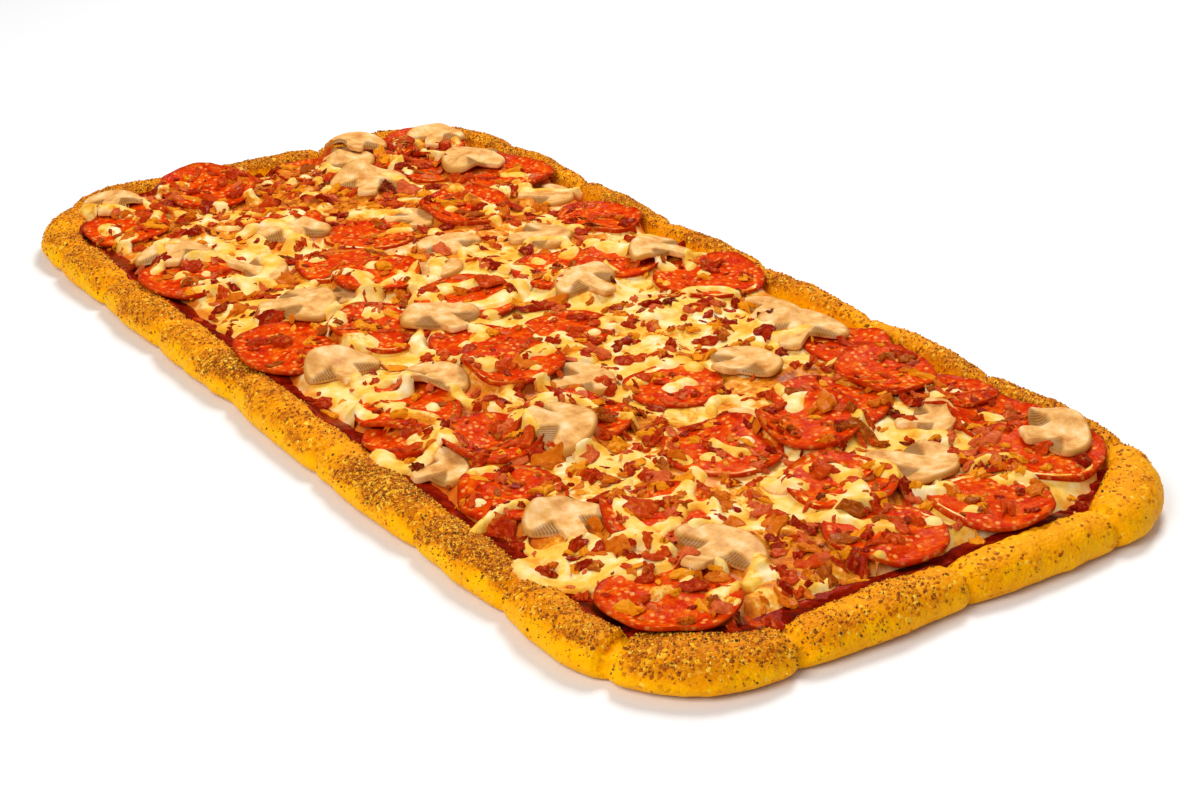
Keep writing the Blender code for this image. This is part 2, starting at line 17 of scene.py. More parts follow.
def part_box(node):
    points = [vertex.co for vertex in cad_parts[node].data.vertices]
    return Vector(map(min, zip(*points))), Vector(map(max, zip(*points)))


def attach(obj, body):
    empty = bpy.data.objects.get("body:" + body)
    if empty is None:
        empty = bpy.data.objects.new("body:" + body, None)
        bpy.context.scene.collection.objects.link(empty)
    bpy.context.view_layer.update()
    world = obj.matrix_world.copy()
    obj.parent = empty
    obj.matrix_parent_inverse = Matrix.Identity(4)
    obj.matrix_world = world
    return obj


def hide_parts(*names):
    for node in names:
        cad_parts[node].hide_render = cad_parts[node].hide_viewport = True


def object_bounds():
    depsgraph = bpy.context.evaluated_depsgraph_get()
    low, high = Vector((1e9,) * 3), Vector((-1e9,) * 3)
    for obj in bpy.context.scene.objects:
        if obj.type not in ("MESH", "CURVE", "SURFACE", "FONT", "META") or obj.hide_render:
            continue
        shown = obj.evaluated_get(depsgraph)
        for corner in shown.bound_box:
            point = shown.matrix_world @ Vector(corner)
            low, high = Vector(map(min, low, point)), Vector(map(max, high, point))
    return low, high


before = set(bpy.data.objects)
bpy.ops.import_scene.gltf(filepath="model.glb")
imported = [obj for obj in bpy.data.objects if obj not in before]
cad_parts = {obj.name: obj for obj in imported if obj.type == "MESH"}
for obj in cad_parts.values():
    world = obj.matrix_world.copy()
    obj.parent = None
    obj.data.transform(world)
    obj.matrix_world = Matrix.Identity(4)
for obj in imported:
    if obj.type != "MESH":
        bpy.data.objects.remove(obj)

MM = 0.001
cad_low, cad_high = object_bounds()
print("solids:", len(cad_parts), "size in mm:", [round(side / MM, 1) for side in cad_high - cad_low])

# %% [markdown]
# ## The camera
# The photograph looks down on one corner from about 25 degrees above the table, with a long lens, so the
# far end is only a little smaller than the near one. The lens is given by its focal length in pixels of a
# picture 1200 pixels wide, because that is how it was measured from the pizza's edges.

# %% The camera
PICTURE_WIDTH = 1200
FOCAL_PIXELS = 2193.03
SENSOR_WIDTH = 36.0
CAMERA_PLACE = Vector((0.76078, -0.47806, 0.39001))
CAMERA_AIM = Vector((-0.752, 0.511, -0.416)).normalized()
CAMERA_ROLL = math.radians(-0.167)

camera_data = bpy.data.cameras.new("camera")
camera_data.sensor_width = SENSOR_WIDTH
camera_data.lens = FOCAL_PIXELS / PICTURE_WIDTH * SENSOR_WIDTH
camera = bpy.data.objects.new("camera", camera_data)
bpy.context.scene.collection.objects.link(camera)
right = CAMERA_AIM.cross(Vector((0.0, 0.0, 1.0))).normalized()
up = right.cross(CAMERA_AIM)
turned = Matrix((right, up, -CAMERA_AIM)).transposed().to_4x4() @ Matrix.Rotation(CAMERA_ROLL, 4, "Z")
camera.matrix_world = Matrix.Translation(CAMERA_PLACE) @ turned
bpy.context.scene.camera = camera
print("lens:", round(camera_data.lens, 1), "mm")

# %% [markdown]
# ## Colours and nodes
# A colour is given as an sRGB hex value, but a shader works in linear light, so one function turns the
# one into the other. Another small function adds any shader node, with its settings, its fixed values and
# its links. The ones after it are the steps that every recipe is made of: noise or cells of a real size,
# arithmetic, a change of range, a ramp of colours, a blend of two colours, and a cover of colour and bump.

# %% Colour and node helpers


def linear(code):
    """A hex colour as linear red, green, blue and alpha: the sRGB curve undone for each channel."""
    parts = [int(code[place:place + 2], 16) / 255 for place in (1, 3, 5)]
    return tuple(p / 12.92 if p <= 0.04045 else ((p + 0.055) / 1.055) ** 2.4 for p in parts) + (1.0,)


def add(tree, kind, inputs=(), stops=(), **settings):
    """Adds a node: settings go on the node, stops on its colour ramp, and inputs are values or links."""
    made = tree.nodes.new(kind)
    for name, value in settings.items():
        setattr(made, name, value)
    for number, (place, code) in enumerate(stops):
        line = made.color_ramp.elements
        stop = line[number] if number < 2 else line.new(place)
        stop.position = place
        stop.color = linear(code)
    for socket, value in dict(inputs).items():
        if isinstance(value, bpy.types.NodeSocket):
            tree.links.new(value, made.inputs[socket])
        else:
            made.inputs[socket].default_value = value
    return made


def finish(name, **fixed):
    """A new material with its tree, its Principled shader and its object coordinates."""
    made = bpy.data.materials.new(name)
    made.use_nodes = True
    shader = made.node_tree.nodes["Principled BSDF"]
    for socket, value in fixed.items():
        shader.inputs[socket.replace("_", " ")].default_value = value
    place = add(made.node_tree, "ShaderNodeTexCoord").outputs["Object"]
    return made, made.node_tree, shader, place


def hues(*codes):
    """Several hex colours as one array."""
    return np.array([linear(code) for code in codes])


def attribute(tree, name, output="Fac"):
    """A mesh attribute, as a number or as a colour."""
    return add(tree, "ShaderNodeAttribute", attribute_name=name).outputs[output]


def clouds(tree, place, size, detail, roughness=0.5):
    """Noise from 0 to 1 whose largest features are so many millimetres wide."""
    sockets = {"Vector": place, "Scale": PER_METRE / size, "Detail": detail, "Roughness": roughness}
    return add(tree, "ShaderNodeTexNoise", sockets).outputs["Fac"]


def honeycomb(tree, place, size):
    """Cells so many millimetres wide: the distance to each cell's heart, and random numbers for each."""
    sockets = {"Vector": place, "Scale": PER_METRE / size, "Randomness": 1.0}
    made = add(tree, "ShaderNodeTexVoronoi", sockets).outputs
    return made["Distance"], add(tree, "ShaderNodeSeparateColor", {"Color": made["Color"]}).outputs


def reckoned(tree, operation, *values):
    """One step of arithmetic on numbers or links."""
    return add(tree, "ShaderNodeMath", dict(enumerate(values)), operation=operation).outputs[0]


def ranged(tree, value, low, high, start=0.0, end=1.0):
    """Carries the range from low to high onto the one from start to end, and holds it at both ends."""
    sockets = {"Value": value, "From Min": low, "From Max": high, "To Min": start, "To Max": end}
    return add(tree, "ShaderNodeMapRange", sockets).outputs[0]


def ramp(tree, value, *stops):
    """A colour for each value, from places on the ramp and their hex colours."""
    return add(tree, "ShaderNodeValToRGB", {"Fac": value}, stops=stops).outputs["Color"]


def blended(tree, share, first, second):
    """Blends from a first colour to a second one, a link or a hex colour, by a share from 0 to 1."""
    second = linear(second) if isinstance(second, str) else second
    sockets = {0: share, COLOUR_A: first, COLOUR_B: second}
    return add(tree, "ShaderNodeMix", sockets, data_type="RGBA").outputs[COLOUR_OUT]


def cover(tree, shader, colour, height, strength, depth, sockets=("Normal",)):
    """Gives the shader its colour and a bump so many millimetres deep."""
    bump = add(tree, "ShaderNodeBump", {"Height": height, "Strength": strength, "Distance": depth * MM})
    tree.links.new(colour, shader.inputs["Base Color"])
    for socket in sockets:
        tree.links.new(bump.outputs["Normal"], shader.inputs[socket])


COLOUR_A, COLOUR_B, COLOUR_OUT = 6, 7, 2
PER_METRE = 1.0 / MM

# %% [markdown]
# ## Random numbers that never change
# Food is uneven, but a script has to bake the same pizza each time. So the random values come from two
# places: a generator with a fixed seed for things that are scattered, and a hash of whole numbers for
# smooth noise. The noise gives every corner of a square grid a value and blends between the corners, all as
# whole arrays.

# %% Noise
draw = np.random.default_rng(7)
HASH_START = 1469598103934665603
HASH_FACTOR = 1099511628211


def hashed(*numbers):
    """A fixed value from 0 to 1 for whole numbers: each is mixed in by a product, and the high bits kept."""
    mixed = np.full(np.broadcast(*numbers).shape, HASH_START, dtype=np.uint64)
    for number in numbers:
        mixed = (mixed ^ np.asarray(number).astype(np.int64).astype(np.uint64)) * np.uint64(HASH_FACTOR)
        mixed = mixed ^ (mixed >> np.uint64(29))
    return (mixed >> np.uint64(11)).astype(float) / 2.0**53


def bumps(x, y, size, seed=0):
    """Value noise from -1 to 1: random heights on the corners of square cells, joined by smooth steps."""
    i, j = np.floor(x / size), np.floor(y / size)
    u, v = x / size - i, y / size - j
    u, v = u * u * (3 - 2 * u), v * v * (3 - 2 * v)
    low = hashed(i, j, seed) * (1 - u) + hashed(i + 1, j, seed) * u
    high = hashed(i, j + 1, seed) * (1 - u) + hashed(i + 1, j + 1, seed) * u
    return 2 * (low * (1 - v) + high * v) - 1


def rough(x, y, size, seed=0, octaves=3):
    """Noise in several sizes: each octave is half as large and half as strong as the one before."""
    turned_x, turned_y = 0.8 * x - 0.6 * y, 0.6 * x + 0.8 * y
    total = bumps(x, y, size, seed)
    for octave in range(1, octaves):
        scale = 2.0**octave
        total = total + bumps(turned_x, turned_y, size / scale, seed + octave) / scale
    return total / (2 - 0.5 ** (octaves - 1))


def smooth(low, high, value):
    """0 below low, 1 above high, and a smooth step between."""
    share = np.clip((value - low) / (high - low), 0.0, 1.0)
    return share * share * (3 - 2 * share)


# %% [markdown]
# ## Bodies from rings
# Almost everything here is a lump, a slice or a loaf: a closed skin without holes. Such a skin is a stack
# of rings, from under the body up to its top, with a pole at each end, as on a globe. If the rings are an
# array of body, ring, sector and coordinate, one function can close any number of bodies at once.

# %% Rings to meshes


def with_poles(values):
    """Adds two values to each body: the mean of its first ring and the mean of its last."""
    ends = values[:, [0, -1]].mean(axis=2)
    flat = values.reshape(len(values), -1, *values.shape[3:])
    return np.concatenate((flat, ends), axis=1).reshape(-1, *values.shape[3:])


def closed_faces(bodies, rings, sectors):
    """Four-sided faces between neighbouring rings and a fan of triangles at each pole, all facing out."""
    here = np.arange(rings * sectors).reshape(rings, sectors)
    after = np.roll(here, -1, axis=1)
    sides = np.stack((here[:-1], after[:-1], after[1:], here[1:]), -1).reshape(-1, 4)
    pole = np.full(sectors, rings * sectors)
    under = np.stack((pole, after[0], here[0]), -1)
    over = np.stack((pole + 1, here[-1], after[-1]), -1)
    start = np.arange(bodies)[:, None, None] * (rings * sectors + 2)
    fans = np.concatenate((under, over))
    return (sides + start).reshape(-1, 4).tolist() + (fans + start).reshape(-1, 3).tolist()


def add_piece(name, points, faces, look, attributes=None, soft=True):
    """A mesh that rides on the body. Each attribute has a number or a colour for every point."""
    mesh = bpy.data.meshes.new(name)
    mesh.from_pydata(points.tolist(), [], faces)
    mesh.polygons.foreach_set("use_smooth", np.full(len(mesh.polygons), soft))
    for label, values in (attributes or {}).items():
        if values.ndim == 2:
            layer = mesh.attributes.new(label, "FLOAT_COLOR", "POINT")
            layer.data.foreach_set("color", values.astype(np.float32).ravel())
        else:
            layer = mesh.attributes.new(label, "FLOAT", "POINT")
            layer.data.foreach_set("value", values.astype(np.float32))
    mesh.materials.append(look)
    mesh.update()
    piece = bpy.data.objects.new(name, mesh)
    bpy.context.scene.collection.objects.link(piece)
    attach(piece, "root")
    return piece


def add_bodies(name, grid, look, attributes=None, soft=True):
    """A piece from closed bodies given as an array of body, ring, sector and coordinate."""
    values = {label: with_poles(value) for label, value in (attributes or {}).items()}
    faces = closed_faces(*grid.shape[:3])
    return add_piece(name, with_poles(grid), faces, look, values, soft)


# %% [markdown]
# ## A map of heights
# Toppings lie on whatever is below them. A map seen from above, with the highest point in each small
# square, answers the question "how high is it here?" for thousands of places at once. Each new layer is
# stamped into the map, so that the next layer comes to rest on it.

# %% The height map
CELL = 0.8 * MM
MARGIN = 6 * MM
MAP_LOW = np.array((cad_low.x - MARGIN, cad_low.y - MARGIN))
MAP_SHAPE = tuple(int((high - low + 2 * MARGIN) / CELL) + 1
                  for low, high in ((cad_low.x, cad_high.x), (cad_low.y, cad_high.y)))


def stamp(heights, points, keep=np.maximum):
    """Lifts each square of the map to the highest of the points over it (or lowers it, with np.minimum)."""
    columns, rows = (np.rint((points[:, axis] - MAP_LOW[axis]) / CELL).astype(int) for axis in (0, 1))
    inside = (columns >= 0) & (columns < MAP_SHAPE[0]) & (rows >= 0) & (rows < MAP_SHAPE[1])
    keep.at(heights, (columns[inside], rows[inside]), points[inside, 2])


def finer(grid, times=3):
    """The points of a grid of rings with more between them: straight steps along rings and across them."""
    steps = np.arange(times)[:, None, None] / times
    after = np.roll(grid, -1, axis=-2)
    spread = grid[..., None, :, :] * (1 - steps) + after[..., None, :, :] * steps
    low, high = spread[..., :-1, :, :, :], spread[..., 1:, :, :, :]
    return np.concatenate([(low * (1 - step) + high * step).reshape(-1, 3) for step in steps.ravel()])


def filled(heights, rounds=3):
    """Gives each empty square the highest of its neighbours, a few squares deep."""
    for _ in range(rounds):
        beside = [np.roll(heights, step, axis) for step in (-1, 1) for axis in (0, 1)]
        heights = np.where(heights > 0, heights, np.maximum.reduce(beside))
    return heights


def height_at(heights, x, y):
    """The map's height at any place, blended between the four squares round it."""
    i = np.clip((x - MAP_LOW[0]) / CELL, 0, MAP_SHAPE[0] - 1.001)
    j = np.clip((y - MAP_LOW[1]) / CELL, 0, MAP_SHAPE[1] - 1.001)
    column, row = i.astype(int), j.astype(int)
    u, v = i - column, j - row
    near = heights[column, row] * (1 - u) + heights[column + 1, row] * u
    far = heights[column, row + 1] * (1 - u) + heights[column + 1, row + 1] * u
    return near * (1 - v) + far * v


def blur(heights, size):
    """Each square takes the mean of its neighbours, weighted by a bell curve, along both axes in turn."""
    reach = int(3 * size / CELL)
    weights = np.exp(-0.5 * (np.arange(-reach, reach + 1) * CELL / size) ** 2)
    for axis in (0, 1):
        border = [(reach, reach) if axis == side else (0, 0) for side in (0, 1)]
        wide = np.pad(heights, border, mode="edge")
        picks = (np.take(wide, np.arange(MAP_SHAPE[axis]) + step, axis) for step in range(2 * reach + 1))
        heights = sum(weight * pick for weight, pick in zip(weights / weights.sum(), picks))
    return heights


def node_triangles(name):
    """The corners of a solid's triangles, as an array of triangle, corner and coordinate."""
    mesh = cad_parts[name].data
    spots = np.empty(len(mesh.vertices) * 3)
    mesh.vertices.foreach_get("co", spots)
    corners = np.empty(len(mesh.loops), dtype=int)
    mesh.loops.foreach_get("vertex_index", corners)
    return spots.reshape(-1, 3)[corners].reshape(-1, 3, 3)


def node_points(name, steps):
    """Points spread over a solid's triangles: each corner plus shares of its two sides."""
    corners = node_triangles(name)
    a, b = np.meshgrid(np.linspace(0, 1, steps), np.linspace(0, 1, steps))
    inside = a + b <= 1.0
    a, b = a[inside][:, None], b[inside][:, None]
    first, second, third = (corners[:, None, number] for number in range(3))
    return (first + a * (second - first) + b * (third - first)).reshape(-1, 3)


map_x = (MAP_LOW[0] + CELL * np.arange(MAP_SHAPE[0]))[:, None] * np.ones(MAP_SHAPE)
map_y = (MAP_LOW[1] + CELL * np.arange(MAP_SHAPE[1]))[None, :] * np.ones(MAP_SHAPE)
print("height map:", MAP_SHAPE, "squares of", CELL / MM, "mm")

# %% [markdown]
# ## The crust
# The rim is dough rolled over by hand and pinched down every few centimetres, so it swells into lobes with
# a crease between them. Its outline is a rounded rectangle, its section a soft roll that is highest a third
# of the way in. Both are formulas: the outline gives a point and a direction for each distance walked round
# the pizza, and the section gives a share inwards and a share upwards. The same sizes shape the solid, so
# the fine surface fits it. Grain from the cornmeal and the crumb topping is added along the surface's own
# direction.

# %% Sizes of the dough
LENGTH = 562 * MM
WIDTH = 272 * MM
CORNER_RADIUS = 58 * MM
RIM_WIDTH = 21 * MM
FAR_RIM_WIDTH = 16 * MM
CORNER_SWELL = 0.3
RIM_HEIGHT = 16 * MM
FAR_RIM_HEIGHT = 19 * MM
FLOOR_HEIGHT = 9 * MM
PINCH_DEPTH = 3.6 * MM
PINCH_ROUNDNESS = 0.42
EDGE_WAVE = 2.2 * MM
EDGE_WAVE_SIZE = 95 * MM
RIM_WAVE = 1.3 * MM
RIM_WAVE_SIZE = 60 * MM
PINCHES = np.array((
    38, 112, 178, 230, 292, 365, 446, 521, 579, 640, 716,
    792, 866, 942, 1020, 1094, 1172, 1246, 1322, 1396, 1466, 1530,
)) * MM
STATIONS_PER_LOBE = 60

STRAIGHT_X = LENGTH - 2 * CORNER_RADIUS
STRAIGHT_Y = WIDTH - 2 * CORNER_RADIUS
ARC = math.pi / 2 * CORNER_RADIUS
PERIMETER = 2 * (STRAIGHT_X + STRAIGHT_Y + 2 * ARC)

# %% The outline


def outline(walk):
    """Points, outward directions and shares of corner turning for distances walked round the rectangle.

    Four times over, a straight run is followed by a quarter circle. The turn stays the same on a straight
    run and grows steadily on a quarter circle. It starts in the middle of the low X end, towards low Y."""
    half_y = STRAIGHT_Y / 2
    ends = np.append(0, np.cumsum((half_y, ARC, STRAIGHT_X, ARC, STRAIGHT_Y, ARC, STRAIGHT_X, ARC, half_y)))
    quarters = np.array((0, 0, 1, 1, 2, 2, 3, 3, 4, 4))

    def on_walk(values):
        return np.interp(walk % PERIMETER, ends, values)

    turn = on_walk(math.pi + math.pi / 2 * quarters)
    normal = np.stack((np.cos(turn), np.sin(turn)), -1)
    along_x = on_walk(STRAIGHT_X / 2 * np.array((-1, -1, -1, 1, 1, 1, 1, -1, -1, -1)))
    along_y = on_walk(STRAIGHT_Y / 2 * np.array((0, -1, -1, -1, -1, 1, 1, 1, 1, 0)))
    middle = np.stack((along_x, along_y), -1)
    return middle + CORNER_RADIUS * normal, normal, np.sin(math.pi * (on_walk(quarters) % 1.0))


def far_share(normal):
    """1 on the sides that face low X and high Y, 0 on the other two, by a smooth step of the direction."""
    return smooth(0.0, 1.0, 0.5 + 0.5 * (normal[..., 1] - normal[..., 0]))


def rim_width(normal, corner):
    """Narrower on the far sides and wider round the corners."""
    return (RIM_WIDTH + (FAR_RIM_WIDTH - RIM_WIDTH) * far_share(normal)) * (1.0 + CORNER_SWELL * corner)


def waves(spots, size, seed):
    """The solid's own smooth noise at places round the rim."""
    return np.array([noise.noise(Vector((x / size, y / size, seed))) for x, y in spots])


def rim_course(count):
    """Distances walked round the rim, so many to a lobe, and the puff of the dough between two pinches."""
    share = np.tile(np.arange(count) / count, len(PINCHES))
    span = (np.roll(PINCHES, -1) - PINCHES) % PERIMETER
    walk = np.repeat(PINCHES, count) + share * np.repeat(span, count)
    return walk, np.sin(math.pi * share) ** PINCH_ROUNDNESS


walk, puff = rim_course(STATIONS_PER_LOBE)
edge_point, edge_normal, edge_corner = outline(walk)
crease = PINCH_DEPTH * (1.0 - puff)
edge_wave = EDGE_WAVE * waves(edge_point, EDGE_WAVE_SIZE, 3.0) - crease
rim_height = RIM_HEIGHT + (FAR_RIM_HEIGHT - RIM_HEIGHT) * far_share(edge_normal) - crease
rim_height += RIM_WAVE * waves(edge_point, RIM_WAVE_SIZE, 8.0)
rim_run = rim_width(edge_normal, edge_corner) + edge_wave
print("round the rim:", len(walk), "stations,", round(PERIMETER / MM), "mm")

# %% [markdown]
# The section is drawn as a smooth curve through nine corners, so that the roll has no ridges. The fine
# grain is pushed out along the section's own normal: large soft dimples from the dough, small ones from the
# crumbs, and a narrow fold at each pinch. It fades out under the loaf and on the floor below the sauce,
# where nothing of it is seen.

# %% The rim's section
RIM_SECTION = np.array((
    (0.50, 0.00), (0.18, 0.06), (0.02, 0.28), (0.02, 0.55), (0.16, 0.84),
    (0.38, 0.99), (0.62, 1.00), (0.86, 0.88), (1.00, 0.55),
))
SECTION_STEPS = 68
GRAIN_SIZE = 1.5 * MM
GRAIN_HEIGHT = 0.34 * MM
DIMPLE_SIZE = 10 * MM
DIMPLE_HEIGHT = 0.9 * MM
FOLD_DEPTH = 2.2 * MM
FOLD_HALF = 3.2 * MM
FIRMNESS_SIZE = 130 * MM
FADE_HEIGHT = 4 * MM


def through(corners, steps):
    """A smooth curve through corners: cubics whose slopes point from one neighbour to the other."""
    slope = np.gradient(corners, axis=0)
    place = np.linspace(0, len(corners) - 1, steps)
    number = np.minimum(place.astype(int), len(corners) - 2)
    t = (place - number)[:, None]
    start, end, leave, arrive = corners[number], corners[number + 1], slope[number], slope[number + 1]
    return (start * (1 + 2 * t) * (1 - t) ** 2 + leave * t * (1 - t) ** 2
            + end * t**2 * (3 - 2 * t) + arrive * t**2 * (t - 1))


section = through(RIM_SECTION, SECTION_STEPS)
inward = rim_run[None, :] * section[:, :1] - edge_wave[None, :]
level = rim_height[None, :] * section[:, 1:]
level[-1] = FLOOR_HEIGHT
level = np.maximum(level, 0.0)
crust_grid = np.stack((edge_point[None, :, 0] - edge_normal[None, :, 0] * inward,
                       edge_point[None, :, 1] - edge_normal[None, :, 1] * inward, level), -1)
own = crust_grid.reshape(-1, 3)
crust_grid[..., :2] += np.array([sum(side) / 2 for side in zip(*[corner[:2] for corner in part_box("crust")])])
crust_grid[..., :2] -= (own[:, :2].min(axis=0) + own[:, :2].max(axis=0)) / 2

across = np.gradient(crust_grid, axis=0)
along = np.roll(crust_grid, -1, axis=1) - np.roll(crust_grid, 1, axis=1)
outward = np.cross(along, across)
outward /= np.linalg.norm(outward, axis=-1, keepdims=True) + 1e-12
run = np.cumsum(np.linalg.norm(across, axis=-1), axis=0)
course = walk[None, :] + 0 * run
shown = smooth(0.0, FADE_HEIGHT, crust_grid[..., 2])
shown *= smooth(1.0, 0.9, np.linspace(0, 1, SECTION_STEPS))[:, None]
grain = rough(course, run, GRAIN_SIZE, 11, 2) * (0.45 + 0.55 * smooth(-0.5, 0.3, outward[..., 2]))
dimples = rough(course, run, DIMPLE_SIZE, 21, 3)
gap = np.abs((walk[:, None] - PINCHES + PERIMETER / 2) % PERIMETER - PERIMETER / 2).min(axis=1)
firm = 0.25 + 0.85 * smooth(-0.2, 0.5, bumps(walk, 0 * walk, FIRMNESS_SIZE, 16))
fold = FOLD_DEPTH * np.exp(-((gap / FOLD_HALF) ** 2)) * firm
crust_grid += outward * (shown * (GRAIN_HEIGHT * grain + DIMPLE_HEIGHT * dimples - fold))[..., None]
crust_grid[..., 2] = np.maximum(crust_grid[..., 2], 0.0)
print("crust points:", crust_grid[..., 0].size)

# %% [markdown]
# ## Baked dough
# Bread crust baked in an oiled pan: bright egg yellow where the dough lay against the oiled pan, gold on
# the shoulder, and toasted brown on top, most on the lobes that stood highest. A mesh attribute carries how
# much heat each place took, and a ramp turns it into colour, broken up by patches of 12 mm. Cornmeal and
# crumbs are baked into the top: a cellular pattern gives each grain its own colour, and more grains show
# where it was hotter. Real grains are 0.5 to 1 mm. They are drawn 1.4 mm wide, because finer ones would
# blur into one colour.

# %% The crust's material
GRIT_SIZE = 1.4
BROWN_PATCH = 30 * MM
BROWN_EDGE_WAVE = 15 * MM
PALE_FOLD_HALF = 6 * MM
PALE_END = (-80 * MM, -220 * MM)
crust_look, tree, shader, place = finish(
    "baked_crust_oiled_pan_bread", Roughness=0.55, Specular_IOR_Level=0.1, Specular_Tint=linear("#FFD080"))
heat = reckoned(tree, "ADD", attribute(tree, "toasting"), clouds(tree, place, 12, 5.0, 0.65))
spread = reckoned(tree, "MULTIPLY_ADD", clouds(tree, place, 1.3, 2.0, 0.6), 0.3, heat)
toast = ramp(tree, ranged(tree, spread, 0.45, 1.6), (0.0, "#FFC000"), (0.25, "#FFB000"), (0.42, "#F69C02"),
             (0.60, "#E48806"), (0.78, "#BC640C"), (1.0, "#7A3C0E"))
distance, chance = honeycomb(tree, place, GRIT_SIZE)
grit_tint = ramp(tree, chance[0], (0.0, "#6E320A"), (0.2, "#A44C08"), (0.42, "#CE700A"), (0.62, "#EC9A0C"),
                 (0.85, "#FABC20"), (1.0, "#FCD450"))
gritty = reckoned(tree, "MULTIPLY_ADD", attribute(tree, "toasting"), 0.75, chance[1])
grained = blended(tree, ranged(tree, gritty, 0.85, 1.1, 0.0, 0.9), toast, grit_tint)
cover(tree, shader, grained, distance, 0.7, -0.5)

patchy = rough(crust_grid[..., 0], crust_grid[..., 1], BROWN_PATCH, 31, 3)
outer = (np.arange(SECTION_STEPS) < SECTION_STEPS / 2)[:, None]
reach = crust_grid[..., 2] / (rim_height + 1e-9) + 0.28 * rough(course, run, BROWN_EDGE_WAVE, 41, 3)
band = np.where(outer, smooth(0.50, 0.86, reach), 1.0) * smooth(1.0, 0.86, section[:, :1])
near_end = smooth(0.3, 0.9, edge_normal[:, 0])
folded = 1 - firm * np.exp(-((gap / PALE_FOLD_HALF) ** 2))
far_end = smooth(*PALE_END, crust_grid[..., 0])
heat_share = band * folded * (0.56 + 0.62 * patchy) * (1 - 0.3 * near_end) * (1 - 0.3 * far_end)
heat_share = heat_share + 0.10 * near_end
crust = add_bodies("crust_loaf", crust_grid[None], crust_look, {"toasting": heat_share[None]})
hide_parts("crust")
print(crust.name, len(crust.data.polygons), "faces")

# %% [markdown]
# ## Slices as thin plates
# Each slice of pepperoni or mushroom is a solid with a few dozen corners that already leans on what lies
# below it. A real slice is a thin plate: between the places that hold it, it takes the smoothest shape
# there is. The thin plate spline is that shape's formula. It adds one bowl, r times r times the logarithm
# of r, for each corner of the solid's top, and a plane, and a little slack lets it pass near the corners
# and not through them.

# %% The thin plate spline
SLACK = 0.02
PLATE_SCALE = 20 * MM
WELD = 0.05 * MM
FACES_UP = 0.2


def plate(name=None, corners=None):
    """A function that gives the height of a thin plate over the upward faces of a solid, or over corners."""
    if corners is None:
        triangles = node_triangles(name)
        facing = np.cross(triangles[:, 1] - triangles[:, 0], triangles[:, 2] - triangles[:, 0])
        facing /= np.linalg.norm(facing, axis=1, keepdims=True) + 1e-12
        corners = triangles[facing[:, 2] > FACES_UP].reshape(-1, 3)
        corners = np.unique(np.round(corners / WELD), axis=0) * WELD
    middle = corners[:, :2].mean(axis=0)
    nodes = (corners[:, :2] - middle) / PLATE_SCALE

    def bowls(spots):
        away = np.linalg.norm(spots[:, None] - nodes[None], axis=-1)
        flat = np.concatenate((np.ones((len(spots), 1)), spots), axis=1)
        return np.concatenate((away**2 * np.log(away + 1e-9), flat), axis=1)

    count = len(nodes)
    system = np.zeros((count + 3, count + 3))
    system[:count] = bowls(nodes)
    system[:count, :count] += SLACK * np.eye(count)
    system[count:, :count] = system[:count, count:].T
    weights = np.linalg.solve(system, np.concatenate((corners[:, 2], (0, 0, 0))))

    def height(x, y):
        spots = (np.stack((x.ravel(), y.ravel()), -1) - middle) / PLATE_SCALE
        return (bowls(spots) @ weights).reshape(x.shape)

    return height, corners, middle


# %% [markdown]
# ## Pepperoni
# A cured sausage slice about 45 mm across and 2 mm thick. In the oven its rim dries, darkens and curls up,
# fat runs out and leaves pale specks, and the face blisters. The slice is a closed skin whose profile runs
# from under the centre, round the edge and back over the top. Its outline is read from the solid's twelve
# corners as a few waves round the circle, and torn a little at the edge, as a slicer leaves it.

# %% The shape of a pepperoni slice
PEPPERONI_COUNT = 33
PEPPERONI_THICKNESS = 1.9 * MM
SLICE_SECTORS = 92
UNDER_SHARES = np.array((0.12, 0.55, 0.86, 0.97))
EDGE_SHARES = np.array((1.0, 1.004, 0.992))
EDGE_LEVELS = np.array((0.22, 0.6, 0.92))
TOP_SHARES = np.concatenate((np.array((0.975, 0.955)), np.linspace(0.93, 0.04, 20)))
PROFILE_SHARES = np.concatenate((UNDER_SHARES, EDGE_SHARES, TOP_SHARES))
PROFILE_LEVELS = np.concatenate((0 * UNDER_SHARES, EDGE_LEVELS, 1 + 0 * TOP_SHARES))
WAVES_ROUND = 5
CURL = 0.5 * MM
CURL_SHARE = 0.07
BLISTER = 1.1 * MM
BLISTER_SIZE = 8 * MM
PIT_DEPTH = 0.3 * MM
PIT_SIZE = 1.8 * MM
turns = 2 * math.pi * np.arange(SLICE_SECTORS) / SLICE_SECTORS


def circle_waves(turn):
    """A constant and a cosine and sine for each number of waves round the circle."""
    counts = np.arange(1, WAVES_ROUND + 1)
    angles = turn[:, None] * counts
    return np.concatenate((np.ones((len(turn), 1)), np.cos(angles), np.sin(angles)), axis=1)


def round_outline(corners):
    """The centre and the radius in each direction, from waves fitted to the outermost corners of a solid."""
    middle = corners[:, :2].mean(axis=0)
    centre = corners[np.linalg.norm(corners[:, :2] - middle, axis=1).argmin(), :2]
    arms = corners[:, :2] - centre
    away = np.linalg.norm(arms, axis=1)
    rim = away > 0.8 * away.max()
    fitted = np.linalg.lstsq(circle_waves(np.arctan2(arms[rim, 1], arms[rim, 0])), away[rim], rcond=None)[0]
    return centre, circle_waves(turns) @ fitted


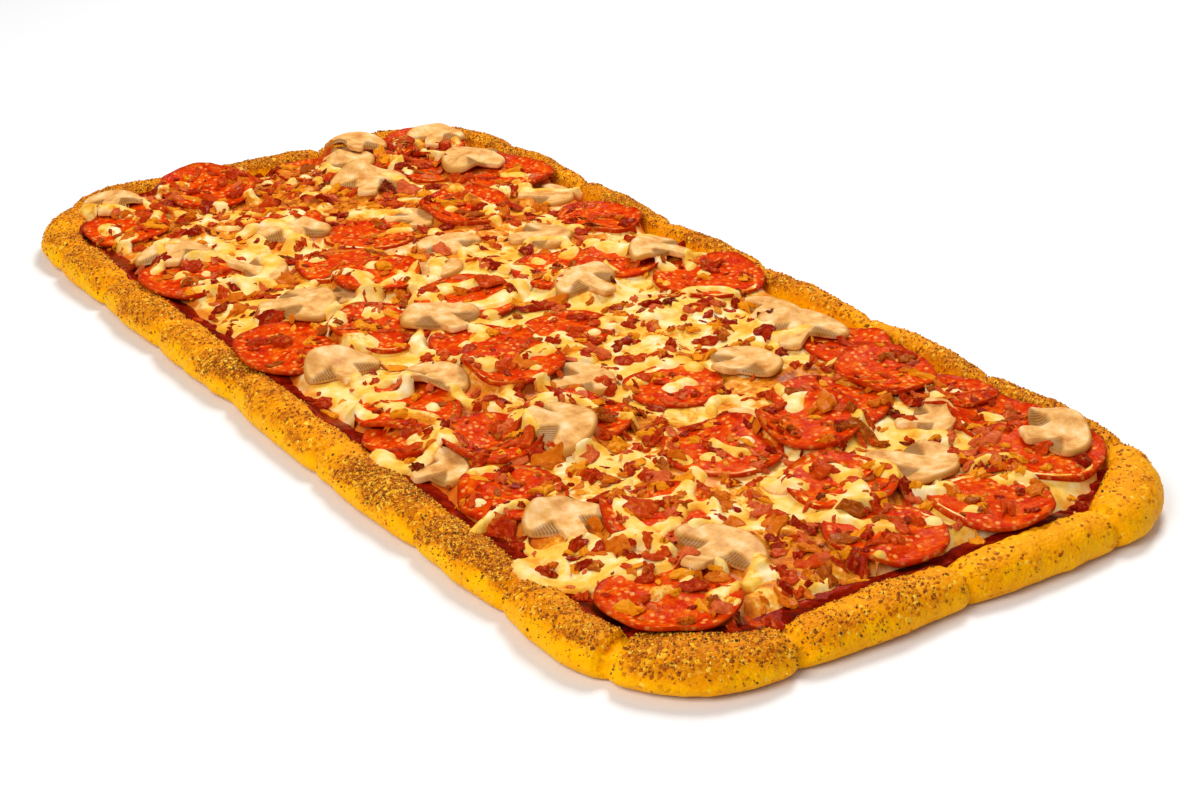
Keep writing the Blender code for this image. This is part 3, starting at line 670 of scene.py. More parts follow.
def slice_grid(centre, radius, height, seed):
    """A slice's skin: shares of the radius over the plate's height, with a curled, blistered face and a
    mask for the dry rim."""
    radius = radius * (1 + 0.05 * rough(np.cos(turns), np.sin(turns), 0.7, seed, 3))
    reach = PROFILE_SHARES[:, None] * radius
    x = centre[0] + reach * np.cos(turns)
    y = centre[1] + reach * np.sin(turns)
    share = PROFILE_SHARES[:, None] + 0 * reach
    lift = CURL * np.exp(-(((1 - share) / CURL_SHARE) ** 2))
    face = BLISTER * rough(x, y, BLISTER_SIZE, seed, 3) + PIT_DEPTH * bumps(x, y, PIT_SIZE, seed + 9)
    z = height(x, y) - PEPPERONI_THICKNESS * (1 - PROFILE_LEVELS[:, None]) + lift
    z = z + face * PROFILE_LEVELS[:, None]
    return np.stack((x, y, z), -1), {"rim": 0.5 * smooth(0.90, 0.985, share)}


# %% [markdown]
# The red of pepperoni is paprika in fat: saturated, with orange where grease has pooled and maroon at the
# dry rim. Fat specks are a cellular pattern of 3 mm, lighter at each cell's heart, and a second, coarser
# noise varies the red from one part of a slice to the next. A thin coat of grease gives the sharp little
# highlights.

# %% The pepperoni's material
pepperoni_look, tree, shader, place = finish(
    "cured_sausage_oven_crisped", Roughness=0.42, IOR=1.45, Specular_IOR_Level=0.01,
    Specular_Tint=linear("#FF8040"), Coat_Weight=0.05, Coat_Roughness=0.1)
distance, chance = honeycomb(tree, place, 2.8)
specks = reckoned(tree, "MULTIPLY", ranged(tree, distance, 0.2, 0.42, 0.85, 0.0),
                  ranged(tree, chance[0], 0.22, 0.5))
tone = reckoned(tree, "ADD", attribute(tree, "tone"), clouds(tree, place, 6, 6.0, 0.75))
reds = ramp(tree, ranged(tree, tone, 0.43, 0.93), (0.0, "#7A0C00"), (0.25, "#AC1800"), (0.5, "#CE2A00"),
            (0.75, "#DE4A00"), (1.0, "#EC7C10"))
dried = blended(tree, attribute(tree, "rim"), blended(tree, specks, reds, "#F0A048"), "#8E1A02")
cover(tree, shader, dried, clouds(tree, place, 1.6, 3.0), 0.7, 0.6, ("Normal", "Coat Normal"))

# %% Pepperoni slices over their solids
PEPPERONI = (pepperoni_look, "pepperoni", 3, -0.08)
TONES = 0.34
slices = []


def add_slice(name, grid, masks, kind, seed, node=None):
    """One slice with its masks and a tone of its own, in the place of its solid if it has one."""
    look, slot, tone_seed, darkest = kind
    tone = TONES * hashed(np.array(seed), np.array(tone_seed)) + darkest
    masks = {**masks, "tone": np.full(grid.shape[:2], tone)}
    piece = add_bodies(name, grid[None], look, {label: mask[None] for label, mask in masks.items()})
    if node:
        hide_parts(node)


for number in range(1, PEPPERONI_COUNT + 1):
    node = f"pepperoni_{number:02d}"
    height, corners, _ = plate(node)
    centre, radius = round_outline(corners)
    grid, masks = slice_grid(centre, radius, height, number)
    add_slice(f"pepperoni_slice_{number:02d}", grid, masks, PEPPERONI, number, node)
    slices.append(grid)
print("pepperoni slices:", len(slices))

# %% [markdown]
# ## Mushrooms
# A mushroom slice is cut through cap and stem. The cap's flesh is a pale crescent with a thin brown skin
# outside, the gills hang under it as a dark, finely ribbed band on both sides, and the stem runs down the
# middle. In polar form the outline is the larger of two curves, an ellipse for the cap and a bar for the
# stem. A soft maximum, the root of a sum of high powers, rounds the corner where they meet.

# %% Mushroom sizes
# Cap width and stem length in millimetres, and the direction of the cap's top in degrees.
MUSHROOM_CUTS = (
    (33, 8, 140), (38, 6, 150), (34, 8, 60), (44, 9, 70), (38, 5, 160), (40, 6, 185),
    (34, 8, 170), (36, 8, 95), (34, 8, 165), (33, 8, 85), (42, 4, 60), (37, 9, 100),
    (34, 9, 190), (36, 7, 215), (37, 9, 75), (45, 6, 215), (40, 4, 60), (42, 8, 150),
    (34, 6, 150), (33, 6, 140), (42, 12, 125), (40, 13, 40), (36, 6, 70), (37, 13, 112),
)
MUSHROOM_THICKNESS = 3.0 * MM
CROWN = 0.78
GILLS = 0.42
STEM_HALF = 0.26
GILL_PITCH = 1.2 * MM
MUSHROOM_SHARES = np.append((0.15, 0.6, 0.9, 0.985, 1.0, 1.0, 0.985, 0.96, 0.93), np.linspace(0.9, 0.04, 26))
MUSHROOM_LEVELS = np.append((0.0, 0.0, 0.0, 0.1, 0.32, 0.68, 0.9, 0.985, 1.0), np.ones(26))

# %% The shape of a mushroom slice


def mushroom_grid(centre, height, cap_width, stem, direction, seed):
    """A slice's skin, with masks for crown skin and gills and the distance across that the gills follow."""
    half = cap_width / 2 * MM
    up_turn = math.radians(direction)
    side = np.cos(turns - up_turn + math.pi / 2)
    above = np.sin(turns - up_turn + math.pi / 2)
    cap = 1.0 / np.hypot(side / half, above / np.where(above > 0, CROWN * half, GILLS * half))
    stem_end = GILLS * half + stem * MM
    bar = ((np.abs(side) / (STEM_HALF * half)) ** 8 + (np.maximum(-above, 1e-3) / stem_end) ** 8) ** (-1 / 8)
    bar = np.where(above < -0.2, bar, 0.0)
    radius = (cap**12 + bar**12) ** (1 / 12)
    radius = radius * (1 + 0.02 * bumps(2.0 * turns, seed + 0 * turns, 1.0, seed))
    reach = MUSHROOM_SHARES[:, None] * radius
    x = centre[0] + reach * np.cos(turns)
    y = centre[1] + reach * np.sin(turns)
    aside = reach * side / half
    upward = reach * above / half
    share = MUSHROOM_SHARES[:, None] + 0 * reach
    over = MUSHROOM_LEVELS[:, None]
    gills = (smooth(0.24, 0.33, np.abs(aside)) * smooth(0.98, 0.86, np.abs(aside))
             * smooth(0.14 - 0.36 * aside**2, 0.04 - 0.36 * aside**2, upward) * over)
    skin = 0.85 * smooth(0.88, 0.96, share) * smooth(-0.35, -0.05, upward)
    hollow = smooth(0.0, 0.5, 1 - share) * (0.35 + 0.25 * bumps(x, y, 9 * MM, seed))
    rounded = 0.5 * smooth(0.93, 1.0, share)
    lift = over * (-0.8 * gills - hollow - rounded + 0.10 * rough(x, y, 2.5 * MM, seed)) * MM
    z = height(x, y) - MUSHROOM_THICKNESS * (1 - over) + lift
    return np.stack((x, y, z), -1), {"gills": gills, "skin": skin, "across": aside * half}


# %% [markdown]
# Cooked mushroom flesh is ivory to tan and slightly wet, darker where it dried, with the gills a warm
# brown. The masks choose between flesh, gills and skin, and a noise of 7 mm lets some places brown more.
# The gills are lines a sine draws every 1.2 mm, coarser than real ones, of under 1 mm, so that they can be
# seen.

# %% The mushroom's material
mushroom_look, tree, shader, place = finish(
    "cooked_mushroom_cut_flesh", Roughness=0.45, Specular_IOR_Level=0.05, Coat_Weight=0.03,
    Coat_Roughness=0.2)
shade = reckoned(tree, "ADD", clouds(tree, place, 7, 5.0, 0.6), attribute(tree, "tone"))
flesh = ramp(tree, shade, (0.25, "#FFE9C4"), (0.5, "#FBD6A0"), (0.68, "#EEB568"), (0.92, "#C87A30"))
wave = reckoned(tree, "MULTIPLY", attribute(tree, "across"), 2 * math.pi / GILL_PITCH)
wave = reckoned(tree, "SINE", wave)
lined = reckoned(tree, "MULTIPLY", ranged(tree, wave, -1.0, 1.0, 0.62, 0.92), attribute(tree, "gills"))
skinned = blended(tree, attribute(tree, "skin"), blended(tree, lined, flesh, "#7E4606"), "#C98634")
cover(tree, shader, skinned, clouds(tree, place, 1.2, 3.0), 0.3, 0.3)

# %% Mushroom slices over their solids
MUSHROOM = (mushroom_look, "mushroom", 8, -0.12)
for number, (cap_width, stem, direction) in enumerate(MUSHROOM_CUTS, 1):
    node = f"mushroom_{number:02d}"
    height, corners, middle = plate(node)
    centre = corners[np.linalg.norm(corners[:, :2] - middle, axis=1).argmin(), :2]
    grid, masks = mushroom_grid(centre, height, cap_width, stem, direction, 100 + number)
    add_slice(f"mushroom_cut_{number:02d}", grid, masks, MUSHROOM, number, node)
    slices.append(grid)
print("all loose slices:", len(slices))

# %% [markdown]
# ## Slices held by the cheese
# Some slices went on early and the cheese has melted round them, so in the solids they are one with it.
# Here they get skins of their own. Their places are repeated from the cook's list, in millimetres from the
# corner at low X and low Y, and their heights are read from the cheese's solid.

# %% Places of the held slices
# Place and diameter of each pepperoni, then place, cap width, stem length and direction of each mushroom.
HELD_PEPPERONI = (
    (474, 238, 42), (442, 238, 42), (380, 238, 40), (297, 148, 42), (144, 132, 44),
    (74, 208, 40), (36, 156, 38), (38, 62, 36), (350, 34, 34), (372, 150, 43),
)
HELD_MUSHROOMS = (
    (204, 84, 24, 6, 60), (382, 32, 28, 6, 80), (200, 134, 34, 4, 10), (140, 238, 36, 8, 60),
    (458, 214, 28, 8, 60), (134, 160, 32, 6, 70), (416, 152, 24, 5, 80), (328, 236, 32, 7, 110),
    (176, 158, 34, 6, 170),
)
CORNER = np.array((-LENGTH / 2, -WIDTH / 2))
cheese_solid = np.zeros(MAP_SHAPE)
stamp(cheese_solid, node_points("cheese", 22))
cheese_solid = filled(cheese_solid, 1)
crust_map = np.zeros(MAP_SHAPE)
stamp(crust_map, finer(crust_grid, 2))


def on_solid(x, y, radius):
    """A thin plate over the cheese's solid: its height at the centre and on two rings inside the radius."""
    turn = np.tile(np.arange(12) * math.pi / 6, 2)
    reach = np.repeat((0.45, 0.85), 12) * radius
    spots_x = np.append(x + reach * np.cos(turn), x)
    spots_y = np.append(y + reach * np.sin(turn), y)
    level = height_at(cheese_solid, spots_x, spots_y)
    level = np.maximum(level, np.median(level) - 1.5 * MM)
    return plate(corners=np.stack((spots_x, spots_y, level), -1))[0]


held = []
for number, (x, y, diameter) in enumerate(HELD_PEPPERONI, 1):
    centre = CORNER + np.array((x, y)) * MM
    radius = diameter / 2 * MM
    height = on_solid(*centre, radius)
    radius = radius * (1 + 0.03 * np.sin(2 * turns + number) + 0.02 * np.sin(5 * turns + 2 * number))
    grid, masks = slice_grid(centre, radius, height, 50 + number)
    add_slice(f"held_pepperoni_{number:02d}", grid, masks, PEPPERONI, 50 + number)
    held.append(grid)
for number, (x, y, cap_width, stem, direction) in enumerate(HELD_MUSHROOMS, 1):
    centre = CORNER + np.array((x, y)) * MM
    height = on_solid(*centre, 0.4 * cap_width * MM)
    grid, masks = mushroom_grid(centre, height, cap_width, stem, direction, 150 + number)
    add_slice(f"held_mushroom_{number:02d}", grid, masks, MUSHROOM, 150 + number)
    held.append(grid)
print("held slices:", len(held))

# %% [markdown]
# ## Melted cheese
# Mozzarella that has melted, run and set again: it fills the gaps, props up the slices that lean and laps
# over some of their edges. The sheet is a grid of heights. It starts from the cheese's solid. Under a slice
# it rises to just below the slice, and a blur turns those rises into skirts that slope down round each one.
# Soft lumps and strings in several sizes are added, and some stretches are pulled over an edge.

# %% Maps of the slices
OPEN = 1.0
UNDER_RINGS = 4


def topmost(grids):
    """A map of the highest points of several slices."""
    heights = np.zeros(MAP_SHAPE)
    for grid in grids:
        stamp(heights, finer(grid))
    return heights


under_map = np.full(MAP_SHAPE, OPEN)
for grid in slices + held:
    stamp(under_map, finer(grid[:UNDER_RINGS]), np.minimum)
covered = under_map < OPEN
top_map = topmost(slices + held)
held_map = topmost(held)
mushroom_map = topmost(slices[PEPPERONI_COUNT:] + held[len(HELD_PEPPERONI):])
on_mushroom = blur((mushroom_map > 0).astype(float), 1.0 * MM)
print("share of the pizza under slices:", round(float(covered.mean()), 2))

# %% The heights of the cheese
CHEESE_CELLS = (430, 200)
CHEESE_BOTTOM = 11.1 * MM
SAUCE_TOP = FLOOR_HEIGHT + 1.8 * MM
UNDER_HELD = 15.5 * MM
SKIRT_WIDTH = 4.2 * MM
PROP_WIDTH = 3.0 * MM
PROP_GAP = 0.3 * MM
PROP_LIMIT = 9 * MM
TUCK_GAP = 0.15 * MM
STRING_SIZE = 7 * MM
LUMP_SIZE = 11 * MM
LAP_SIZE = 13 * MM
LAP_THICKNESS = 0.8 * MM
LAP_CLIMB = 5 * MM
solid = np.where(cheese_solid > 0, cheese_solid, CHEESE_BOTTOM)
bare = blur(np.where(held_map > 0, np.minimum(solid, UNDER_HELD), solid), 2.0 * MM)
near_slice = blur(covered.astype(float), SKIRT_WIDTH)
reached = blur(np.where(covered, under_map, 0.0), PROP_WIDTH)
reached = reached / (blur(covered.astype(float), PROP_WIDTH) + 1e-6)
skirt = smooth(0.02, 0.40, near_slice)
prop = bare + np.clip(reached - PROP_GAP - bare, 0.0, PROP_LIMIT) * skirt
strings = 1 - np.abs(bumps(map_x + 0.5 * map_y, 0.35 * map_y, STRING_SIZE, 3))
lumps = 1.2 * rough(map_x, map_y, LUMP_SIZE, 40, 4) + 1.0 * strings**3 - 0.4
free = np.maximum(prop, bare) + lumps * MM * smooth(0.0, 3 * MM, bare - CHEESE_BOTTOM)
tucked = np.minimum(free, under_map - TUCK_GAP)
lap = smooth(-0.35, 0.1, rough(map_x, map_y, LAP_SIZE, 60, 3)) * smooth(0.96, 0.72, near_slice)
lap = lap * (1 - 0.8 * on_mushroom)
lapped = np.where(covered & (top_map > 0), top_map + LAP_THICKNESS, free)
sheet = tucked * (1 - lap) + np.minimum(lapped, free + LAP_CLIMB) * lap
sheet = blur(np.where(covered, sheet, free), 0.9 * MM)

# %% [markdown]
# The grid is a square whose corners are drawn in to follow the pizza's rounded corners. Its outermost line
# runs down to the sauce at an uneven distance from the rim, so that dark sauce shows between the two, and
# the same line closes the sheet underneath.

# %% The cheese as a mesh
CHEESE_MARGIN = 1.0 * MM
CHEESE_CORNER = 52 * MM
CHEESE_EDGE_WAVE = 3.0 * MM
EDGE_WAVE_LENGTH = 20 * MM
BAY_SIZE = 17 * MM
BAY_SLOPE = 9.0 * MM
HEM = 1.0 * MM
HALF = (np.array((LENGTH, WIDTH)) - RIM_WIDTH - FAR_RIM_WIDTH) / 2 - CHEESE_MARGIN
CHEESE_SHIFT = np.array((-1, 1)) * (RIM_WIDTH - FAR_RIM_WIDTH) / 2


def rounded_square(u, v):
    """Carries -1 to 1 both ways onto a rounded rectangle: each corner's square is squeezed into a disc."""
    x, y = u * HALF[0], v * HALF[1]
    p = (np.abs(x) - HALF[0] + CHEESE_CORNER) / CHEESE_CORNER
    q = (np.abs(y) - HALF[1] + CHEESE_CORNER) / CHEESE_CORNER
    both = (p > 0) & (q > 0)
    p, q = np.where(both, p, 0), np.where(both, q, 0)
    in_x = HALF[0] - CHEESE_CORNER + CHEESE_CORNER * p * np.sqrt(1 - q * q / 2)
    in_y = HALF[1] - CHEESE_CORNER + CHEESE_CORNER * q * np.sqrt(1 - p * p / 2)
    return np.where(both, np.sign(x) * in_x, x), np.where(both, np.sign(y) * in_y, y)


u, v = np.meshgrid(np.linspace(-1, 1, CHEESE_CELLS[0]), np.linspace(-1, 1, CHEESE_CELLS[1]), indexing="ij")
flat_x, flat_y = rounded_square(u, v)
edge = np.maximum(np.abs(u), np.abs(v))
pull = CHEESE_EDGE_WAVE * edge**6 * rough(flat_x, flat_y, EDGE_WAVE_LENGTH, 70, 3)
length = np.hypot(flat_x, flat_y) + 1e-9
cheese_x = flat_x - flat_x / length * pull + CHEESE_SHIFT[0]
cheese_y = flat_y - flat_y / length * pull + CHEESE_SHIFT[1]
from_edge = np.minimum((1 - np.abs(u)) * HALF[0], (1 - np.abs(v)) * HALF[1])
cheese_z = height_at(sheet, cheese_x, cheese_y)
far = far_share(np.stack((u, v), -1) / np.hypot(u, v)[..., None])
bay = (3.0 - 6.0 * far + 6.0 * rough(cheese_x, cheese_y, BAY_SIZE, 77, 3)) * MM
thin = smooth(-0.5 * MM, BAY_SLOPE, from_edge - bay) ** 0.6
cheese_z = CHEESE_BOTTOM - HEM + (cheese_z - CHEESE_BOTTOM + HEM) * thin
print("highest cheese in mm:", round(float(cheese_z.max() / MM), 1))


def sheet_faces(columns, rows):
    """The faces of a grid, its walls and its underside: the border is doubled and closed by one face."""
    here = np.arange(columns * rows).reshape(columns, rows)
    top = np.stack((here[:-1, :-1], here[1:, :-1], here[1:, 1:], here[:-1, 1:]), -1).reshape(-1, 4)
    border = np.concatenate((here[:-1, 0], here[-1, :-1], here[:0:-1, -1], here[0, :0:-1]))
    lower = columns * rows + np.arange(len(border))
    wall = np.stack((lower, np.roll(lower, -1), np.roll(border, -1), border), -1)
    return top.tolist() + wall.tolist() + [lower[::-1].tolist()], border


# %% [markdown]
# Mozzarella is cream white where it is thick and domed, straw yellow where it is thin or oily, and orange
# to brown in spots where it blistered. Paprika fat from the pepperoni stains it orange near the slices.
# Both effects are attributes worked out from the maps, and noises of real size keep their borders ragged.
# Light goes a little way into cheese, so it has some subsurface scattering, and its fat gives it a satin
# gloss.

# %% The cheese's material
cheese_look, tree, shader, place = finish(
    "melted_mozzarella_browned", Roughness=0.38, IOR=1.45, Specular_IOR_Level=0.06, Coat_Weight=0.05,
    Coat_Roughness=0.15, Subsurface_Weight=0.1, Subsurface_Radius=(1.0, 0.6, 0.25),
    Subsurface_Scale=2.0 * MM)
curd = clouds(tree, place, 10, 4.0, 0.55)
cream = ramp(tree, curd, (0.3, "#FFEABA"), (0.43, "#FCD682"), (0.54, "#F8C24C"), (0.69, "#F0A222"))
scorched = reckoned(tree, "ADD", clouds(tree, place, 5, 6.0, 0.7), attribute(tree, "brown"))
scorch = ranged(tree, scorched, 0.76, 1.1)
browns = ramp(tree, scorch, (0.0, "#F4A82A"), (0.5, "#E08414"), (0.85, "#BC5C0C"), (1.0, "#96420C"))
toasted = blended(tree, ranged(tree, scorch, 0.0, 0.35), cream, browns)
oily = ranged(tree, reckoned(tree, "ADD", curd, attribute(tree, "stain")), 0.78, 1.2, 0.0, 0.85)
stained = blended(tree, oily, toasted, "#E0681A")
cover(tree, shader, stained, clouds(tree, place, 2.5, 3.0), 0.4, 0.6)

faces, border = sheet_faces(*CHEESE_CELLS)
cheese_grid = np.stack((cheese_x, cheese_y, cheese_z), -1)
points = cheese_grid.reshape(-1, 3)
hem = points[border]
hem[:, 2] = CHEESE_BOTTOM - 1.1 * MM
ragged = rough(cheese_x, cheese_y, 22 * MM, 90, 3)
brown = 0.13 + 0.36 * smooth(-0.4, 0.5, ragged) + 0.2 * smooth(15 * MM, 20 * MM, cheese_z)
stain = height_at(near_slice, cheese_x, cheese_y) * smooth(-0.8, 0.4, rough(cheese_x, cheese_y, 30 * MM, 95))
stain += 0.45 * smooth(0.1, 0.7, rough(cheese_x, cheese_y, 16 * MM, 97, 3))
stain += 0.55 * smooth(13 * MM, 3 * MM, from_edge)
values = {"brown": np.append(brown.ravel(), brown.ravel()[border]),
          "stain": np.append(stain.ravel(), stain.ravel()[border])}
points = np.concatenate((points, hem))
cheese = add_piece("cheese_sheet", points, faces, cheese_look, values)
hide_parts("cheese")
print(cheese.name, len(faces), "faces")

# %% [markdown]
# ## Tomato sauce
# A thin layer spread with a ladle to just short of the rim. Only its border shows, dark red and glossy, and
# it laps a little way up the inside of the rim. It is a ring of points that follows the outline inwards,
# thin where it climbs, and a flat middle under the cheese.

# %% The sauce
SAUCE_BOTTOM = FLOOR_HEIGHT + 0.3 * MM
SAUCE_RUN = np.concatenate((np.array((0.5,)), np.linspace(0, 1, 26)))
SAUCE_REACH = 30 * MM
SAUCE_LEVEL = 9 * MM
SAUCE_THICKNESS = 0.45 * MM
SAUCE_EDGE = 0.6 * MM
sauce_walk = np.linspace(0, PERIMETER, 900, endpoint=False)
sauce_point, sauce_normal, sauce_corner = outline(sauce_walk)
lapping = 2.2 * MM * bumps(sauce_walk, 0 * sauce_walk, 17 * MM, 14)
lapping = lapping + 0.8 * MM * bumps(sauce_walk, 0 * sauce_walk, 5 * MM, 15)
start = rim_width(sauce_normal, sauce_corner) - 3.0 * MM + 4.0 * MM * far_share(sauce_normal) + lapping
inset = start[None] + SAUCE_RUN[:, None] * SAUCE_REACH
sauce_x = sauce_point[None, :, 0] - sauce_normal[None, :, 0] * inset
sauce_y = sauce_point[None, :, 1] - sauce_normal[None, :, 1] * inset
ripples = 0.5 * rough(sauce_x, sauce_y, 8 * MM, 33, 3) + 0.15 * bumps(sauce_x, sauce_y, 1.6 * MM, 35)
laid = np.maximum(height_at(crust_map, sauce_x, sauce_y) + SAUCE_THICKNESS, SAUCE_TOP) + ripples * MM * 0.8
sauce_z = np.where(SAUCE_RUN[:, None] * SAUCE_REACH > SAUCE_LEVEL, np.minimum(laid, SAUCE_TOP), laid)
sauce_z[0] = SAUCE_BOTTOM
sauce_z[1] = np.maximum(sauce_z[1] - SAUCE_EDGE, SAUCE_BOTTOM)
sauce_grid = np.stack((sauce_x, sauce_y, sauce_z), -1)

sauce_look, tree, shader, place = finish(
    "cooked_tomato_sauce", Roughness=0.3, IOR=1.36, Specular_IOR_Level=0.12, Specular_Tint=linear("#FF7040"),
    Coat_Weight=0.04, Coat_Roughness=0.1)
pulp = clouds(tree, place, 4, 6.0, 0.7)
reds = ramp(tree, pulp, (0.3, "#600A00"), (0.47, "#8C1200"), (0.62, "#AE2402"), (0.8, "#CC4C08"))
cover(tree, shader, reds, pulp, 0.5, 0.8)
sauce = add_bodies("sauce_layer", sauce_grid[None], sauce_look)
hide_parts("tomato_sauce")
print(sauce.name, len(sauce.data.polygons), "faces")

# %% [markdown]
# ## What lies on top
# The top of everything laid so far is one map again. Whatever is added now is first drawn flat, then each
# of its points is raised by the map's height below it, softened a little. So a shred of cheese follows a
# mushroom down onto the pepperoni beside it, as it does when it melts.

# %% The top map
top = np.maximum(crust_map, top_map)
stamp(top, finer(sauce_grid, 2))
stamp(top, finer(cheese_grid[:, :-1], 2))
top = filled(top)
TOP_LIMIT = cad_high.z + 0.4 * MM


def laid_on(x, y, z, softness=1.4 * MM):
    """Raises flat-drawn points by the softened map below them."""
    return np.minimum(height_at(blur(top, softness), x, y) + z, TOP_LIMIT)


def topping_places(count, inset, size, seed):
    """Scattered places over the filling, fewer where a slow noise is low and on the mushrooms."""
    far_x, far_y, round_off = LENGTH / 2 - inset, WIDTH / 2 - inset, 40 * MM
    x = draw.uniform(-far_x, far_x, 4 * count)
    y = draw.uniform(-far_y, far_y, 4 * count)
    over_x, over_y = np.abs(x) - far_x + round_off, np.abs(y) - far_y + round_off
    keep = np.maximum(over_x, 0) ** 2 + np.maximum(over_y, 0) ** 2 < round_off**2
    keep &= bumps(x, y, size, seed) > draw.uniform(-1.2, 0.8, len(x))
    keep &= height_at(on_mushroom, x, y) < draw.uniform(0.05, 1.0, len(x))
    return x[keep][:count], y[keep][:count]


# %% [markdown]
# ## Cheese that melted on top
# Grated cheese also fell on the slices. Some of it drew together into round white drops, some ran into
# strings and tongues, and where two met they became one. Separate blobs would never join like that. So
# every bit of this cheese adds a soft hill to one field over the whole pizza, and wherever the field is
# over a threshold there is cheese, as thick as the field is high: the idea of metaballs, on a map. The
# map's coordinates are bent by noise first, which makes the borders run.

# %% The field of melted cheese
THRESHOLD = 0.35
VEIL_THICKNESS = 1.4 * MM
BORDER_SINK = 0.45 * MM
BRIDGED = 5
FIELD_EDGE = (9 * MM, 17 * MM)
PARTING_SWING = 14 * MM
PARTING_WAVE = 26 * MM
PARTING_EDGE = (0.6 * MM, 4 * MM)
bends = (2.2 * rough(map_x, map_y, 12 * MM, seed) + 0.3 * bumps(map_x, map_y, 3 * MM, seed + 3)
         for seed in (300, 310))
bent_x, bent_y = (line + bend * MM for line, bend in zip((map_x, map_y), bends))
field = np.zeros(MAP_SHAPE)


def hill(x, y, radius, long=1.0, turn=0.0):
    """Adds one hill to the field: the square of 1 - d * d, where d is the share of its oval's radius."""
    reach = int((radius * long + 4 * MM) / CELL)
    i, j = int((x - MAP_LOW[0]) / CELL), int((y - MAP_LOW[1]) / CELL)
    window = (slice(max(i - reach, 0), i + reach), slice(max(j - reach, 0), j + reach))
    over_x, over_y = bent_x[window] - x, bent_y[window] - y
    a = (over_x * math.cos(turn) + over_y * math.sin(turn)) / long
    b = -over_x * math.sin(turn) + over_y * math.cos(turn)
    field[window] += np.maximum(1 - (a * a + b * b) / radius**2, 0.0) ** 2


DROP_COUNT = 190
STRING_COUNT = 120
x, y = topping_places(DROP_COUNT, inset=27 * MM, size=45 * MM, seed=220)
for spot in zip(x, y, draw.gamma(4.0, 0.9, len(x)) * MM + 2.4 * MM, draw.uniform(1.0, 1.5, len(x)),
                draw.uniform(0, math.pi, len(x))):
    hill(*spot)
x, y = topping_places(STRING_COUNT, inset=29 * MM, size=60 * MM, seed=230)
for start_x, start_y, heading, bend, width in zip(
        x, y, draw.uniform(0, 2 * math.pi, len(x)), draw.normal(0, 0.35, len(x)),
        draw.uniform(2.8, 6.2, len(x))):
    for step in range(draw.integers(3, 8)):
        hill(start_x, start_y, width * MM, 1.6, heading)
        start_x += 1.15 * width * MM * math.cos(heading)
        start_y += 1.15 * width * MM * math.sin(heading)
        heading += bend
        width = max(width + draw.normal(0, 0.7), 2.2)
from_rim = WIDTH / 2 - np.maximum(np.abs(map_x) - LENGTH / 2 + WIDTH / 2, np.abs(map_y))
field *= smooth(*FIELD_EDGE, from_rim) * (1 - 0.55 * on_mushroom)
parting = map_x - PARTING_SWING * np.sin(map_y / PARTING_WAVE)
field *= smooth(*PARTING_EDGE, np.abs(parting))
print("drops:", DROP_COUNT, "strings:", STRING_COUNT, "share:", round(float((field > THRESHOLD).mean()), 2))

# %% [markdown]
# The patches become closed bodies. The squares of the map where there is cheese give the top faces, the
# same squares turned over give the underside, and walls join the two along every border. The border itself
# is sunk a little below the toppings, so each patch seems to melt out of them and no wall is seen. A wavy
# parting keeps the patches in two pieces, each light enough to handle.

# %% Patches of cheese as a mesh


def patch_bodies(cells, upper, lower):
    """Points and faces of the bodies over the chosen squares, between an upper and a lower map."""
    used = np.zeros(MAP_SHAPE, dtype=bool)
    for step_x in (0, 1):
        for step_y in (0, 1):
            used[step_x:MAP_SHAPE[0] - 1 + step_x, step_y:MAP_SHAPE[1] - 1 + step_y] |= cells
    number = np.cumsum(used).reshape(MAP_SHAPE) - 1
    count = int(used.sum())
    corners = (number[:-1, :-1], number[1:, :-1], number[1:, 1:], number[:-1, 1:])
    top_faces = np.stack([corner[cells] for corner in corners], -1)
    wide = np.pad(cells, 1)
    neighbours = (wide[1:-1, :-2], wide[2:, 1:-1], wide[1:-1, 2:], wide[:-2, 1:-1])
    walls = []
    for side, beside in enumerate(neighbours):
        open_side = cells & ~beside
        start, end = corners[side][open_side], corners[(side + 1) % 4][open_side]
        walls.append(np.stack((start + count, end + count, end, start), -1))
    points = np.concatenate([
        np.stack((map_x[used], map_y[used], skin[used]), -1) for skin in (upper, lower)])
    faces = np.concatenate((top_faces, top_faces[:, ::-1] + count, *walls))
    return points, faces.tolist(), used


def part_pinched(cells):
    """Fills one square wherever two squares of cheese touch only at a corner, so that no body pinches."""
    for _ in range(3):
        a, b, c, d = cells[:-1, :-1], cells[1:, :-1], cells[1:, 1:], cells[:-1, 1:]
        cells[1:, :-1] |= a & c & ~b & ~d
        cells[:-1, :-1] |= b & d & ~a & ~c
    return cells


def closed(heights, steps):
    """Fills valleys narrower than twice the steps: each square takes the highest near it, then the lowest
    of those."""
    for pick in (np.maximum, np.minimum):
        for _ in range(steps):
            for axis in (0, 1):
                heights = pick(heights, pick(np.roll(heights, 1, axis), np.roll(heights, -1, axis)))
    return heights


